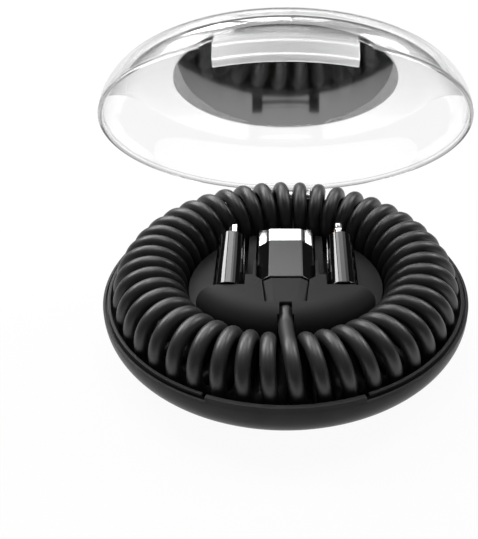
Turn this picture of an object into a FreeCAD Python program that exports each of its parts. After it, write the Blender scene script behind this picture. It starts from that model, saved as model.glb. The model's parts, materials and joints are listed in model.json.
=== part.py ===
"""Coiled charging cable in a round case with a clear hinged lid, plugs and two adapters.

Units are millimetres. The origin is the centre of the underside, +Z is up, the latch is at -Y and
the hinge at +Y. The lid is drawn closed and turned open about the hinge axis by its Placement.
"""
import FreeCAD
import Part
import Sketcher
import math
import os
import re

DIMENSIONS = (
    # bowl
    ("case_radius", 37.5, "outer radius of the rim"),
    ("rim_height", 9.4, "rim above the table"),
    ("wall", 1.3, "bowl wall"),
    ("floor_thickness", 2.4, "bowl floor"),
    ("bowl_side", 0.9, "upright side below the rim"),
    ("bowl_drop", 0.8, "side curve's radius is short of the underside by this"),
    ("knee_angle", 51, "degrees below the rim where the flatter curve takes over"),
    ("lip_width", 0.5, "outer lip of the rim"),
    ("groove_width", 0.45, "groove between lip and collar"),
    ("groove_depth", 0.5, "depth of that groove"),
    ("collar_width", 0.6, "collar that centres the lid"),
    ("collar_height", 0.6, "collar above the rim"),
    # latch
    ("latch_angle", 45, "degrees of arc taken by the lid's latch tab"),
    ("latch_step", 2, "degrees added for the keeper lip, its pocket and the lid's notch"),
    ("keeper_wall", 0.95, "front wall behind which the tab goes"),
    ("keeper_height", 1.1, "keeper lip above the rim"),
    ("tab_thickness", 0.8, "latch tab"),
    ("tab_depth", 3.3, "latch tab below the lid's edge"),
    ("tab_taper", 0.45, "lead-in at the tab's lower end"),
    ("tab_taper_height", 1.65, "height of that lead-in"),
    ("tab_gap", 0.15, "room round the tab"),
    # hinge
    ("hinge_back", 1.5, "hinge axis behind the rim"),
    ("hinge_drop", 0.7, "hinge axis below the rim"),
    ("pin_radius", 0.7, "hinge pin"),
    ("running_gap", 0.05, "radial play of the lid on its pin"),
    ("ear_radius", 1.45, "round ear of the bowl"),
    ("ear_width", 2.5, "each ear along the pin"),
    ("knuckle_radius", 1.35, "round knuckle of the lid"),
    ("knuckle_length", 11, "knuckle along the pin"),
    ("hinge_side_gap", 0.25, "play between knuckle and ears"),
    # lid
    ("lid_gap", 0.15, "gap between the closed lid and the rim"),
    ("lid_height", 12.3, "lid above its edge"),
    ("lid_wall", 1.2, "clear wall"),
    ("shoulder_arc", 10, "curve at the lid's shoulder"),
    ("rebate_height", 0.9, "step that fits over the collar"),
    ("rebate_gap", 0.15, "room between that step and the collar"),
    ("open_angle", 49.8, "degrees the lid stands open"),
    ("disc_radius", 23, "black disc let into the lid's top"),
    ("disc_thickness", 0.6, "that disc"),
    ("glue_gap", 0.05, "adhesive round the disc"),
    # cable
    ("cable_diameter", 3.0, "cable"),
    ("coil_gap", 0.5, "coil inside the collar"),
    ("coil_inner_gap", 0.25, "coil outside the holder"),
    ("coil_seat", 0.3, "coil above the bowl's floor"),
    ("lead_gap", 0.08, "between a lead's end and the coil"),
    # plug holder
    ("holder_radius", 20.0, "round holder"),
    ("holder_top", 17.1, "flat top of its front block, above the table"),
    ("holder_round", 4.5, "rounded edge of that block"),
    ("recess_height", 10.45, "its low flat sides and back, above the table"),
    ("stack_floor", 6.95, "floor of the plug well, above the table"),
    ("adapter_floor", 6.5, "floor of the adapter slots, above the table"),
    ("adapter_share", 0.57, "adapters' centre planes, as a share of the holder's radius"),
    ("tip_reach", 0.1, "adapter tips beyond the holder's radius"),
    ("seat_gap", 0.1, "room under and ahead of a seated plug"),
    ("side_gap", 0.15, "room beside a seated plug"),
    ("cable_throat", 2.45, "slot above the cable, which snaps through it"),
    ("clip_thickness", 0.6, "spring clip beside the small plug"),
    ("clip_length", 6.0, "that clip, from inside the front block"),
    ("clip_root", 1.0, "part of the clip inside the block"),
    ("clip_height", 4.8, "clip, upright"),
    # plug with the small oval tip
    ("c_width", 11.6, "housing"),
    ("c_height", 5.6, "housing"),
    ("c_length", 13.25, "housing"),
    ("c_ahead", 1.9, "housing ahead of the one below it"),
    ("c_corner", 1.0, "slanted front corners"),
    ("c_facet", 6.6, "flat facet on top and underneath"),
    ("c_side", 2.2, "upright side of the housing"),
    ("c_tip_width", 8.25, "steel shell"),
    ("c_tip_height", 2.4, "steel shell"),
    ("c_tip_round", 1.15, "its rounded corners"),
    ("c_tip_length", 6.65, "shell beyond the housing"),
    ("c_boot_width", 9.2, "boot at the housing"),
    ("c_boot_height", 5.1, "boot at the housing"),
    ("c_boot_facet", 5.8, "its flat facet"),
    ("c_boot_side", 3.4, "its upright side"),
    ("c_boot_end_width", 7.8, "boot at the cable"),
    ("c_boot_end_height", 4.2, "boot at the cable"),
    ("c_boot_length", 7.4, "boot"),
    ("c_boot_drop", 0.1, "cable below the plug's axis"),
    ("c_slot_width", 6.69, "mating slot"),
    ("c_slot_height", 0.8, "mating slot"),
    ("c_slot_depth", 5.6, "mating slot"),
    ("c_board_thickness", 0.8, "circuit board"),
    ("c_board_length", 7.0, "circuit board"),
    # plug with the large flat tip
    ("a_width", 12.5, "housing"),
    ("a_height", 5.0, "housing"),
    ("a_length", 12.3, "housing"),
    ("a_round", 0.8, "housing corners"),
    ("a_tip_width", 12.0, "steel shell"),
    ("a_tip_height", 4.5, "steel shell"),
    ("a_tip_round", 0.5, "shell corners"),
    ("a_tip_length", 12.0, "shell beyond the housing"),
    ("a_end_gap", 1.0, "shell's end inside the holder's radius"),
    ("a_window", 2.3, "square windows in the shell"),
    ("a_window_offset", 3.1, "windows beside the middle"),
    ("a_window_back", 5.2, "windows behind the tip's end"),
    ("a_tongue", 1.95, "insulating tongue"),
    ("a_boot_radius", 2.4, "boot at the housing"),
    ("a_boot_end", 2.0, "boot at the cable"),
    ("a_boot_length", 3.7, "boot"),
    ("stack_gap", 0.05, "between the two housings"),
    # adapters
    ("adapter_width", 6.4, "housing across"),
    ("adapter_height", 11.0, "housing, upright"),
    ("adapter_round", 2.6, "its rounded edges"),
    ("adapter_length", 18.6, "housing"),
    ("adapter_nose", 0.8, "how much slimmer the tip's end is"),
    ("socket_width", 8.94, "socket opening, upright"),
    ("socket_height", 3.16, "socket opening"),
    ("socket_round", 1.5, "socket corners"),
    ("socket_depth", 6.8, "socket"),
    ("socket_tongue", 0.7, "tongue in the socket"),
    ("tip_root", 1.5, "how far each tip sits in its housing"),
    ("shell_wall", 0.25, "rolled steel"),
    ("contact", 0.12, "contact strips"),
    ("micro_width", 6.85, "five-contact tip, upright"),
    ("micro_height", 1.8, "five-contact tip"),
    ("micro_chamfer", 0.8, "its slanted corners"),
    ("micro_length", 5.8, "five-contact tip"),
    ("blade_width", 6.7, "eight-contact blade, upright"),
    ("blade_height", 1.5, "eight-contact blade"),
    ("blade_round", 0.7, "its rounded edges"),
    ("blade_length", 6.4, "eight-contact blade"),
    ("blade_contact", 0.05, "contact strips on its faces"),
    ("blade_notch", 0.3, "detent notch in each edge"),
    ("blade_notch_back", 1.9, "notch behind the blade's end"),
)

doc = FreeCAD.newDocument("coiled_cable_case")
sheet = doc.addObject("Spreadsheet::Sheet", "Dims")
for row, (alias, value, note) in enumerate(DIMENSIONS, start=1):
    sheet.set(f"A{row}", alias)
    sheet.set(f"B{row}", str(value))
    sheet.setAlias(f"B{row}", alias)
    sheet.set(f"C{row}", note)
doc.recompute()

ALIASES = {alias for alias, value, note in DIMENSIONS}
nodes = []

# heights and places that follow from the sheet
BOWL_ARC = "(rim_height - bowl_side - bowl_drop)"
BOWL_R = f"(case_radius - {BOWL_ARC})"
SIDE_Z = "(rim_height - bowl_side)"
KNEE_R = f"({BOWL_R} + {BOWL_ARC} * cos(knee_angle))"
KNEE_Z = f"({SIDE_Z} - {BOWL_ARC} * sin(knee_angle))"
LOWER_ARC = f"({KNEE_Z} / (1 - sin(knee_angle)))"
FOOT_R = f"({KNEE_R} - {LOWER_ARC} * cos(knee_angle))"
INNER_ARC = f"({BOWL_ARC} - wall)"
INNER_KNEE_R = f"({BOWL_R} + {INNER_ARC} * cos(knee_angle))"
INNER_KNEE_Z = f"({SIDE_Z} - {INNER_ARC} * sin(knee_angle))"
INNER_LOWER = f"({LOWER_ARC} - wall)"
FLOOR_R = f"({FOOT_R} + sqrt({INNER_LOWER}^2 - ({LOWER_ARC} - floor_thickness)^2))"
COLLAR_OUT = "(case_radius - lip_width - groove_width)"
COLLAR_IN = f"({COLLAR_OUT} - collar_width)"
COLLAR_FOOT = f"({SIDE_Z} - sqrt({INNER_ARC}^2 - ({COLLAR_IN} - {BOWL_R})^2))"
HINGE_Y = "(case_radius + hinge_back)"
HINGE_Z = "(rim_height - hinge_drop)"
LID_Z = "(rim_height + lid_gap)"
TAB_OUT = "(case_radius - keeper_wall - tab_gap)"
TAB_IN = f"({TAB_OUT} - tab_thickness)"
TAB_LOW = f"({LID_Z} - tab_depth)"
SHOULDER_R = "(case_radius - shoulder_arc)"
TOP_ARC = f"(({SHOULDER_R}^2 + lid_height^2 - shoulder_arc^2) / (2 * (lid_height - shoulder_arc)))"
TOP_CENTRE = f"({LID_Z} + lid_height - {TOP_ARC})"
COIL_OUT = f"({COLLAR_IN} - coil_gap)"
COIL_IN = "(holder_radius + coil_inner_gap)"
COIL_R = f"(({COIL_OUT} + {COIL_IN}) / 2)"
COIL_SECTION = f"(({COIL_OUT} - {COIL_IN}) / 2)"
COIL_Z = f"(floor_thickness + coil_seat + {COIL_SECTION})"
CABLE_R = "(cable_diameter / 2)"
A_Z = "(stack_floor + seat_gap + a_height / 2)"
A_FACE = "(holder_radius - a_end_gap - a_tip_length)"
A_FRONT = f"(a_length - {A_FACE})"
C_Z = f"({A_Z} + a_height / 2 + stack_gap + c_height / 2)"
C_FRONT = f"({A_FRONT} + c_ahead)"
C_FACE = f"(c_length - {C_FRONT})"
C_LEAD_Z = f"({C_Z} - c_boot_drop)"
RECESS_FRONT = f"({A_FRONT} + 3 * seat_gap)"
ADAPTER_X = "(holder_radius * adapter_share)"
ADAPTER_Z = "(adapter_floor + seat_gap + adapter_height / 2)"
BLADE_END = f"sqrt((holder_radius + tip_reach)^2 - ({ADAPTER_X} + blade_height / 2)^2)"
ADAPTER_FACE = f"({BLADE_END} - blade_length)"
ADAPTER_FRONT = f"(adapter_length - {ADAPTER_FACE})"


def tie(text):
    """Write an expression of the sheet's words as one that a property can be bound to."""
    return re.sub(r"[a-z_]+", lambda m: "Dims." * (m.group() in ALIASES) + m.group(), text)


def num(text):
    """Value of such an expression now."""
    return float(sheet.evalExpression(tie(text)))


def new_body(label):
    """Start a sub-part whose label is its node's name."""
    body = doc.addObject("PartDesign::Body", label)
    body.Label = label
    nodes.append(body)
    return body


def new_sketch(body, name, plane, offset="0"):
    """Empty sketch on one of the body's own planes, moved along that plane's normal."""
    sketch = body.newObject("Sketcher::SketchObject", name)
    support = [part for part in body.Origin.OriginFeatures if part.Role == plane][0]
    sketch.AttachmentSupport = [(support, "")]
    sketch.MapMode = "FlatFace"
    sketch.setExpression("AttachmentOffset.Base.z", tie(offset))
    return sketch


def pin_coordinate(sketch, kind, axis, edge, end, text):
    """Hold one coordinate of a corner at an expression of the sheet."""
    if text == "0":
        sketch.addConstraint(Sketcher.Constraint("PointOnObject", edge, end, axis))
        return
    value = num(text)
    if value < 0:
        index = sketch.addConstraint(Sketcher.Constraint(kind, edge, end, -1, 1, -value))
        sketch.setExpression(f"Constraints[{index}]", tie(f"-({text})"))
    else:
        index = sketch.addConstraint(Sketcher.Constraint(kind, -1, 1, edge, end, value))
        sketch.setExpression(f"Constraints[{index}]", tie(text))


def outline(body, name, plane, corners, offset="0"):
    """Closed sketch through corners (u, v); a corner (u, v, radius, turn) starts an arc.

    A turn of 1 keeps the arc's centre on the left, and -1 on the right.
    """
    sketch = new_sketch(body, name, plane, offset)
    spots = [FreeCAD.Vector(num(corner[0]), num(corner[1]), 0) for corner in corners]
    ends = []
    for i, corner in enumerate(corners):
        start = spots[i]
        stop = spots[(i + 1) % len(spots)]
        if len(corner) == 2:
            edge = sketch.addGeometry(Part.LineSegment(start, stop), False)
        else:
            radius = num(corner[2])
            chord = stop - start
            left = FreeCAD.Vector(-chord.y, chord.x, 0).normalize()
            rise = math.sqrt(max(radius ** 2 - (chord.Length / 2) ** 2, 0))
            middle = (start + stop) * 0.5 + left * (corner[3] * (rise - radius))
            way = (start, middle, stop) if corner[3] > 0 else (stop, middle, start)
            edge = sketch.addGeometry(Part.Arc(*way), False)
        first = sketch.Geometry[edge].StartPoint
        ends.append((1, 2) if first.distanceToPoint(start) < first.distanceToPoint(stop) else (2, 1))
    for i, corner in enumerate(corners):
        follower = (i + 1) % len(corners)
        sketch.addConstraint(Sketcher.Constraint("Coincident", i, ends[i][1], follower, ends[follower][0]))
    for i, corner in enumerate(corners):
        pin_coordinate(sketch, "DistanceX", -2, i, ends[i][0], corner[0])
        pin_coordinate(sketch, "DistanceY", -1, i, ends[i][0], corner[1])
        if len(corner) > 2:
            index = sketch.addConstraint(Sketcher.Constraint("Radius", i, num(corner[2])))
            sketch.setExpression(f"Constraints[{index}]", tie(corner[2]))
    return sketch


def circle(body, name, plane, u, v, radius, offset="0"):
    """Sketch of one circle."""
    sketch = new_sketch(body, name, plane, offset)
    centre = FreeCAD.Vector(num(u), num(v), 0)
    sketch.addGeometry(Part.Circle(centre, FreeCAD.Vector(0, 0, 1), num(radius)), False)
    pin_coordinate(sketch, "DistanceX", -2, 0, 3, u)
    pin_coordinate(sketch, "DistanceY", -1, 0, 3, v)
    index = sketch.addConstraint(Sketcher.Constraint("Radius", 0, num(radius)))
    sketch.setExpression(f"Constraints[{index}]", tie(radius))
    return sketch


def rectangle(u0, v0, u1, v1):
    """Corners of an upright rectangle."""
    return [(u0, v0), (u1, v0), (u1, v1), (u0, v1)]


def rounded(u, v, width, height, radius):
    """Corners of a rectangle round (u, v) with rounded corners."""
    left, right = f"({u}) - ({width}) / 2", f"({u}) + ({width}) / 2"
    low, high = f"({v}) - ({height}) / 2", f"({v}) + ({height}) / 2"
    return [
        (f"{left} + ({radius})", low), (f"{right} - ({radius})", low, radius, 1),
        (right, f"{low} + ({radius})"), (right, f"{high} - ({radius})", radius, 1),
        (f"{right} - ({radius})", high), (f"{left} + ({radius})", high, radius, 1),
        (left, f"{high} - ({radius})"), (left, f"{low} + ({radius})", radius, 1),
    ]


def octagon(v, width, height, facet, side):
    """Corners of a section with flat top, bottom and sides and slanted faces between."""
    right, left = f"({width}) / 2", f"-({width}) / 2"
    high, low = f"({v}) + ({height}) / 2", f"({v}) - ({height}) / 2"
    up, down = f"({v}) + ({side}) / 2", f"({v}) - ({side}) / 2"
    return [
        (f"-({facet}) / 2", low), (f"({facet}) / 2", low), (right, down), (right, up),
        (f"({facet}) / 2", high), (f"-({facet}) / 2", high), (left, up), (left, down),
    ]


def finish(body, feature, cuts):
    """Recompute, and make sure that the feature took material away or added some."""
    before = body.BaseVolume if hasattr(body, "BaseVolume") else None
    doc.recompute()
    volume = body.Shape.Volume
    if before is None:
        body.addProperty("App::PropertyFloat", "BaseVolume")
    elif (volume < before - 1e-9) != cuts:
        raise RuntimeError(f"{body.Label}: {feature.Name} changed nothing or the wrong way")
    body.BaseVolume = volume
    return feature


def turned(body, kind, name, sketch, angle=None):
    """Revolve a sketch about its upright axis, or centred on its plane by an angle."""
    feature = body.newObject("PartDesign::" + kind, name)
    feature.Profile = sketch
    feature.ReferenceAxis = (sketch, ["V_Axis"])
    feature.Angle = 360
    if angle:
        feature.Midplane = True
        feature.setExpression("Angle", tie(angle))
    return finish(body, feature, kind == "Groove")


def pad(body, name, sketch, length, backwards=False, both_sides=False):
    """Raise a sketch along its normal, against it, or to both sides."""
    feature = body.newObject("PartDesign::Pad", name)
    feature.Profile = sketch
    feature.setExpression("Length", tie(length))
    feature.Reversed = backwards
    if both_sides:
        feature.SideType = "Symmetric"
    return finish(body, feature, False)


def pocket(body, name, sketch, length, both_sides=False):
    """Cut a sketch into the body against the sketch's normal, or to both sides."""
    feature = body.newObject("PartDesign::Pocket", name)
    feature.Profile = sketch
    feature.setExpression("Length", tie(length))
    if both_sides:
        feature.SideType = "Symmetric"
    return finish(body, feature, True)


def loft(body, name, first, last):
    """Join two sketches by straight faces."""
    feature = body.newObject("PartDesign::AdditiveLoft", name)
    feature.Profile = first
    feature.Sections = [last]
    feature.Ruled = True
    return finish(body, feature, False)


def sleeve(label, y0, length, outer, inner):
    """Tube along Y between two outlines of the XZ plane."""
    body = new_body(label)
    section = outline(body, label + "_section", "XZ_Plane", outer, f"-({y0})")
    pad(body, label + "_outer", section, length, True)
    bore = outline(body, label + "_bore", "XZ_Plane", inner, f"-({y0})")
    pocket(body, label + "_hollow", bore, length)
    return body


def group(label, boxes):
    """Loose like pieces as one node: each box is its lowest corner and its size."""
    solids = []
    for corner, size in boxes:
        place = FreeCAD.Vector(*[num(value) for value in corner])
        solids.append(Part.makeBox(*[num(value) for value in size], place))
    piece = doc.addObject("Part::Feature", label)
    piece.Label = label
    piece.Shape = Part.makeCompound(solids)
    piece.Placement = FreeCAD.Placement()
    nodes.append(piece)
    return piece


def cylinder(label, radius, height, axis, base):
    """Round bar from a base point along one axis."""
    bar = doc.addObject("Part::Cylinder", label)
    bar.Label = label
    bar.setExpression("Radius", tie(radius))
    bar.setExpression("Height", tie(height))
    turn = FreeCAD.Rotation(FreeCAD.Vector(0, 0, 1), axis)
    bar.Placement = FreeCAD.Placement(FreeCAD.Vector(), turn)
    for letter, text in zip("xyz", base):
        bar.setExpression("Placement.Base." + letter, tie(text))
    nodes.append(bar)
    return bar


def block(label, base, size):
    """Plain box from its lowest corner."""
    box = doc.addObject("Part::Box", label)
    box.Label = label
    for side, text in zip(("Length", "Width", "Height"), size):
        box.setExpression(side, tie(text))
    for letter, text in zip("xyz", base):
        box.setExpression("Placement.Base." + letter, tie(text))
    return box


def swing_open(body):
    """Turn a lid piece from the closed place to the open one, about the hinge axis."""
    body.Placement = FreeCAD.Placement(
        FreeCAD.Vector(), FreeCAD.Rotation(FreeCAD.Vector(-1, 0, 0), num("open_angle")))
    body.setExpression("Placement.Rotation.Angle", tie("open_angle"))
    body.setExpression("Placement.Base.y", tie(
        f"{HINGE_Y} - {HINGE_Y} * cos(open_angle) - {HINGE_Z} * sin(open_angle)"))
    body.setExpression("Placement.Base.z", tie(
        f"{HINGE_Z} + {HINGE_Y} * sin(open_angle) - {HINGE_Z} * cos(open_angle)"))


def make_base_shell():
    """Bowl with its stepped rim, keeper lip and hinge ears."""
    body = new_body("base_shell")
    section = outline(body, "bowl_section", "XZ_Plane", [
        ("0", "0"), (FOOT_R, "0", LOWER_ARC, 1), (KNEE_R, KNEE_Z, BOWL_ARC, 1),
        ("case_radius", SIDE_Z), ("case_radius", "rim_height"),
        ("case_radius - lip_width", "rim_height"), ("case_radius - lip_width", "rim_height - groove_depth"),
        (COLLAR_OUT, "rim_height - groove_depth"), (COLLAR_OUT, "rim_height + collar_height"),
        (COLLAR_IN, "rim_height + collar_height"), (COLLAR_IN, COLLAR_FOOT, INNER_ARC, -1),
        (INNER_KNEE_R, INNER_KNEE_Z, INNER_LOWER, -1),
        (FLOOR_R, "floor_thickness"), ("0", "floor_thickness"),
    ])
    turned(body, "Revolution", "bowl", section)
    keeper = "case_radius - keeper_wall"
    shelf = f"{TAB_LOW} - tab_gap"
    room = outline(body, "tab_room_section", "YZ_Plane", [
        (f"-({COLLAR_IN} - tab_thickness)", shelf),
        (f"-({COLLAR_IN} - tab_thickness)", "rim_height + 2 * collar_height"),
        (f"-({keeper})", "rim_height + 2 * collar_height"),
        (f"-({keeper})", f"{shelf} + tab_taper_height"), (f"-({keeper} - tab_taper)", shelf),
    ])
    turned(body, "Groove", "tab_room", room, "latch_angle + 2 * latch_step")
    lip = outline(body, "keeper_section", "YZ_Plane", rectangle(
        "-case_radius", "rim_height - groove_depth", f"-({keeper})", "rim_height + keeper_height"))
    turned(body, "Revolution", "keeper", lip, "latch_angle + latch_step")
    ear_start = "knuckle_length / 2 + hinge_side_gap"
    for side, offset in (("right", ear_start), ("left", f"-({ear_start} + ear_width)")):
        web = outline(body, f"ear_web_{side}_section", "YZ_Plane", rectangle(
            f"{COLLAR_IN}", f"{HINGE_Z} - ear_radius", HINGE_Y, "rim_height - lid_gap"), offset)
        pad(body, f"ear_web_{side}", web, "ear_width")
        ear = circle(body, f"ear_{side}_section", "YZ_Plane", HINGE_Y, HINGE_Z, "ear_radius", offset)
        pad(body, f"ear_{side}", ear, "ear_width")
    bore = circle(body, "pin_bore_section", "YZ_Plane", HINGE_Y, HINGE_Z, "pin_radius")
    pocket(body, "pin_bore", bore, "knuckle_length + 2 * hinge_side_gap + 2 * ear_width", True)


def make_hinge_pin():
    """Steel pin held by the ears."""
    half = "(knuckle_length / 2 + hinge_side_gap + ear_width)"
    across = FreeCAD.Vector(1, 0, 0)
    cylinder("hinge_pin", "pin_radius", f"2 * {half}", across, (f"-{half}", HINGE_Y, HINGE_Z))


def make_lid():
    """Clear dome with its notch, latch tab and knuckle, and the black disc let into its top."""
    body = new_body("lid_dome")
    share = f"({TOP_ARC} - shoulder_arc)"
    meet_r = f"({SHOULDER_R} * {TOP_ARC} / {share})"
    meet_z = f"({TOP_CENTRE} + ({LID_Z} - {TOP_CENTRE}) * {TOP_ARC} / {share})"
    inner_arc = f"({TOP_ARC} - lid_wall)"
    inner_r = f"({SHOULDER_R} * {inner_arc} / {share})"
    inner_z = f"({TOP_CENTRE} + ({LID_Z} - {TOP_CENTRE}) * {inner_arc} / {share})"
    recess_r = "(disc_radius + glue_gap)"
    recess_arc = f"({TOP_ARC} - disc_thickness - glue_gap)"
    rebate_r = f"({COLLAR_OUT} + rebate_gap)"
    edge_r = f"({SHOULDER_R} + sqrt((shoulder_arc - lid_wall)^2 - rebate_height^2))"
    section = outline(body, "dome_section", "XZ_Plane", [
        ("case_radius", LID_Z, "shoulder_arc", 1), (meet_r, meet_z, TOP_ARC, 1),
        (recess_r, f"{TOP_CENTRE} + sqrt({TOP_ARC}^2 - {recess_r}^2)"),
        (recess_r, f"{TOP_CENTRE} + sqrt({recess_arc}^2 - {recess_r}^2)", recess_arc, 1),
        ("0", f"{TOP_CENTRE} + {recess_arc}"), ("0", f"{TOP_CENTRE} + {inner_arc}", inner_arc, -1),
        (inner_r, inner_z, "shoulder_arc - lid_wall", -1), (edge_r, f"{LID_Z} + rebate_height"),
        (rebate_r, f"{LID_Z} + rebate_height"), (rebate_r, LID_Z),
    ])
    turned(body, "Revolution", "dome", section)
    notch_top = "rim_height + keeper_height + tab_gap"
    notch = outline(body, "notch_section", "YZ_Plane", rectangle(
        "-(case_radius + lid_wall)", f"{LID_Z} - lid_wall", f"-({TAB_IN} - lid_wall)", notch_top))
    turned(body, "Groove", "notch", notch, "latch_angle + 2 * latch_step")
    tab_top = f"{notch_top} + 2 * lid_wall"
    tab = outline(body, "tab_section", "YZ_Plane", [
        (f"-({TAB_OUT} - tab_taper)", TAB_LOW), (f"-({TAB_OUT})", f"{TAB_LOW} + tab_taper_height"),
        (f"-({TAB_OUT})", f"{notch_top}"), (f"-({TAB_OUT} + lid_wall / 2)", f"{notch_top}"),
        (f"-({TAB_OUT} + lid_wall / 2)", f"{notch_top} + lid_wall"), (f"-({TAB_IN})", tab_top),
        (f"-({TAB_IN})", TAB_LOW),
    ])
    turned(body, "Revolution", "tab", tab, "latch_angle")
    web = outline(body, "knuckle_web_section", "YZ_Plane", [
        (rebate_r, LID_Z), (HINGE_Y, LID_Z), (HINGE_Y, f"{HINGE_Z} + knuckle_radius"),
        ("case_radius", f"{LID_Z} + 2 * rebate_height"), (rebate_r, f"{LID_Z} + 2 * rebate_height"),
    ])
    pad(body, "knuckle_web", web, "knuckle_length", both_sides=True)
    knuckle = circle(body, "knuckle_section", "YZ_Plane", HINGE_Y, HINGE_Z, "knuckle_radius")
    pad(body, "knuckle", knuckle, "knuckle_length", both_sides=True)
    bore = circle(body, "knuckle_bore_section", "YZ_Plane", HINGE_Y, HINGE_Z, "pin_radius + running_gap")
    pocket(body, "knuckle_bore", bore, "knuckle_length", both_sides=True)
    swing_open(body)
    disc = new_body("lid_disc")
    lower = f"({TOP_ARC} - disc_thickness)"
    plate = outline(disc, "disc_section", "XZ_Plane", [
        ("0", f"{TOP_CENTRE} + {lower}"), ("0", f"{TOP_CENTRE} + {TOP_ARC}", TOP_ARC, -1),
        ("disc_radius", f"{TOP_CENTRE} + sqrt({TOP_ARC}^2 - disc_radius^2)"),
        ("disc_radius", f"{TOP_CENTRE} + sqrt({lower}^2 - disc_radius^2)", lower, 1),
    ])
    turned(disc, "Revolution", "disc", plate)
    swing_open(disc)


def make_plug_holder():
    """Round moulding: a high front block, low flats, a plug well, two adapter slots and a cable slot."""
    body = new_body("plug_holder")
    section = outline(body, "puck_section", "XZ_Plane", [
        ("0", "floor_thickness"), ("holder_radius", "floor_thickness"),
        ("holder_radius", "holder_top - holder_round", "holder_round", 1),
        ("holder_radius - holder_round", "holder_top"), ("0", "holder_top"),
    ])
    turned(body, "Revolution", "puck", section)
    beyond = "(holder_radius + wall)"
    slot_front = f"-({ADAPTER_FRONT} + seat_gap)"
    slot = "(adapter_width / 2 + side_gap)"
    for side, sign in (("right", "1"), ("left", "-1")):
        ends = [f"{sign} * {ADAPTER_X}", f"{sign} * {beyond}"]
        if sign == "-1":
            ends.reverse()
        wing = outline(body, f"wing_{side}_section", "XY_Plane", rectangle(
            ends[0], slot_front, ends[1], beyond), "holder_top")
        pocket(body, f"wing_{side}", wing, "holder_top - recess_height")
        cut = outline(body, f"adapter_slot_{side}_section", "XY_Plane", rectangle(
            f"{sign} * {ADAPTER_X} - {slot}", slot_front,
            f"{sign} * {ADAPTER_X} + {slot}", beyond), "holder_top")
        pocket(body, f"adapter_slot_{side}", cut, "holder_top - adapter_floor")
    back = outline(body, "recess_section", "XY_Plane", rectangle(
        f"-{ADAPTER_X}", f"-{RECESS_FRONT}", ADAPTER_X, beyond), "holder_top")
    pocket(body, "recess", back, "holder_top - recess_height")
    well = "(a_width / 2 + side_gap)"
    cut = outline(body, "well_section", "XY_Plane", rectangle(
        f"-{well}", f"-({A_FRONT} + seat_gap)", well, beyond), "holder_top")
    pocket(body, "well", cut, "holder_top - stack_floor")
    bay = "(c_width / 2 + side_gap)"
    inner = f"({bay} - c_corner)"
    cut = outline(body, "bay_section", "XY_Plane", [
        (f"-{inner}", f"-({C_FRONT} + seat_gap)"), (inner, f"-({C_FRONT} + seat_gap)"),
        (bay, f"-({C_FRONT} + seat_gap - c_corner)"), (bay, f"-{A_FRONT}"),
        (f"-{bay}", f"-{A_FRONT}"), (f"-{bay}", f"-({C_FRONT} + seat_gap - c_corner)"),
    ], "holder_top")
    pocket(body, "bay", cut, f"holder_top - ({C_Z} - c_height / 2 - seat_gap)")
    boot_end = f"-({C_FRONT} + c_boot_length + seat_gap)"
    wide = "(c_boot_width / 2 + side_gap)"
    narrow = "(c_boot_end_width / 2 + side_gap)"
    cut = outline(body, "upper_boot_section", "XY_Plane", [
        (f"-{narrow}", boot_end), (narrow, boot_end), (wide, f"-{C_FRONT}"), (f"-{wide}", f"-{C_FRONT}"),
    ], "holder_top")
    pocket(body, "upper_boot_groove", cut, f"holder_top - ({C_Z} - c_boot_height / 2 - seat_gap)")
    bed = "(a_boot_radius + side_gap)"
    cut = outline(body, "lower_boot_section", "XY_Plane", rectangle(
        f"-{bed}", f"-({A_FRONT} + a_boot_length + seat_gap)", bed, f"-{A_FRONT}"), "holder_top")
    pocket(body, "lower_boot_groove", cut, f"holder_top - ({A_Z} - a_boot_radius - seat_gap)")
    gate = f"({CABLE_R} + seat_gap)"
    cut = outline(body, "throat_section", "XY_Plane", rectangle(
        "-cable_throat / 2", f"-{beyond}", "cable_throat / 2", f"-{A_FRONT}"), "holder_top")
    pocket(body, "throat", cut, f"holder_top - ({A_Z} - {gate})")
    cut = outline(body, "cable_slot_section", "XZ_Plane", rectangle(
        f"-{gate}", f"{A_Z} - {gate}", gate, f"{C_LEAD_Z} + {gate}"), beyond)
    pocket(body, "cable_slot", cut, f"{beyond} - {A_FRONT}")
    clip_start = f"-({RECESS_FRONT} + clip_root)"
    for side, edge in (("right", bay), ("left", f"-({bay} + clip_thickness)")):
        clip = outline(body, f"clip_{side}_section", "XY_Plane", rectangle(
            edge, clip_start, f"{edge} + clip_thickness", f"{clip_start} + clip_length"), "holder_top")
        pad(body, f"clip_{side}", clip, "clip_height", True)


def make_cable():
    """The coil as one ring of its outer size, and the two leads that reach the plugs."""
    ring = doc.addObject("Part::Torus", "cable_coil")
    ring.Label = "cable_coil"
    ring.setExpression("Radius1", tie(COIL_R))
    ring.setExpression("Radius2", tie(COIL_SECTION))
    ring.setExpression("Placement.Base.z", tie(COIL_Z))
    nodes.append(ring)
    forward = FreeCAD.Vector(0, -1, 0)
    for label, height, start in (
            ("cable_lead_upper", C_LEAD_Z, f"({C_FRONT} + c_boot_length)"),
            ("cable_lead_lower", A_Z, f"({A_FRONT} + a_boot_length)")):
        # the side of the lead that lies nearest the ring's centre height meets the ring first
        near = f"max(0; abs({height} - {COIL_Z}) - {CABLE_R})"
        reach = f"({COIL_R} - sqrt({COIL_SECTION}^2 - ({near})^2) - lead_gap)"
        cylinder(label, CABLE_R, f"{reach} - {start}", forward, ("0", f"-{start}", height))


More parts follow.
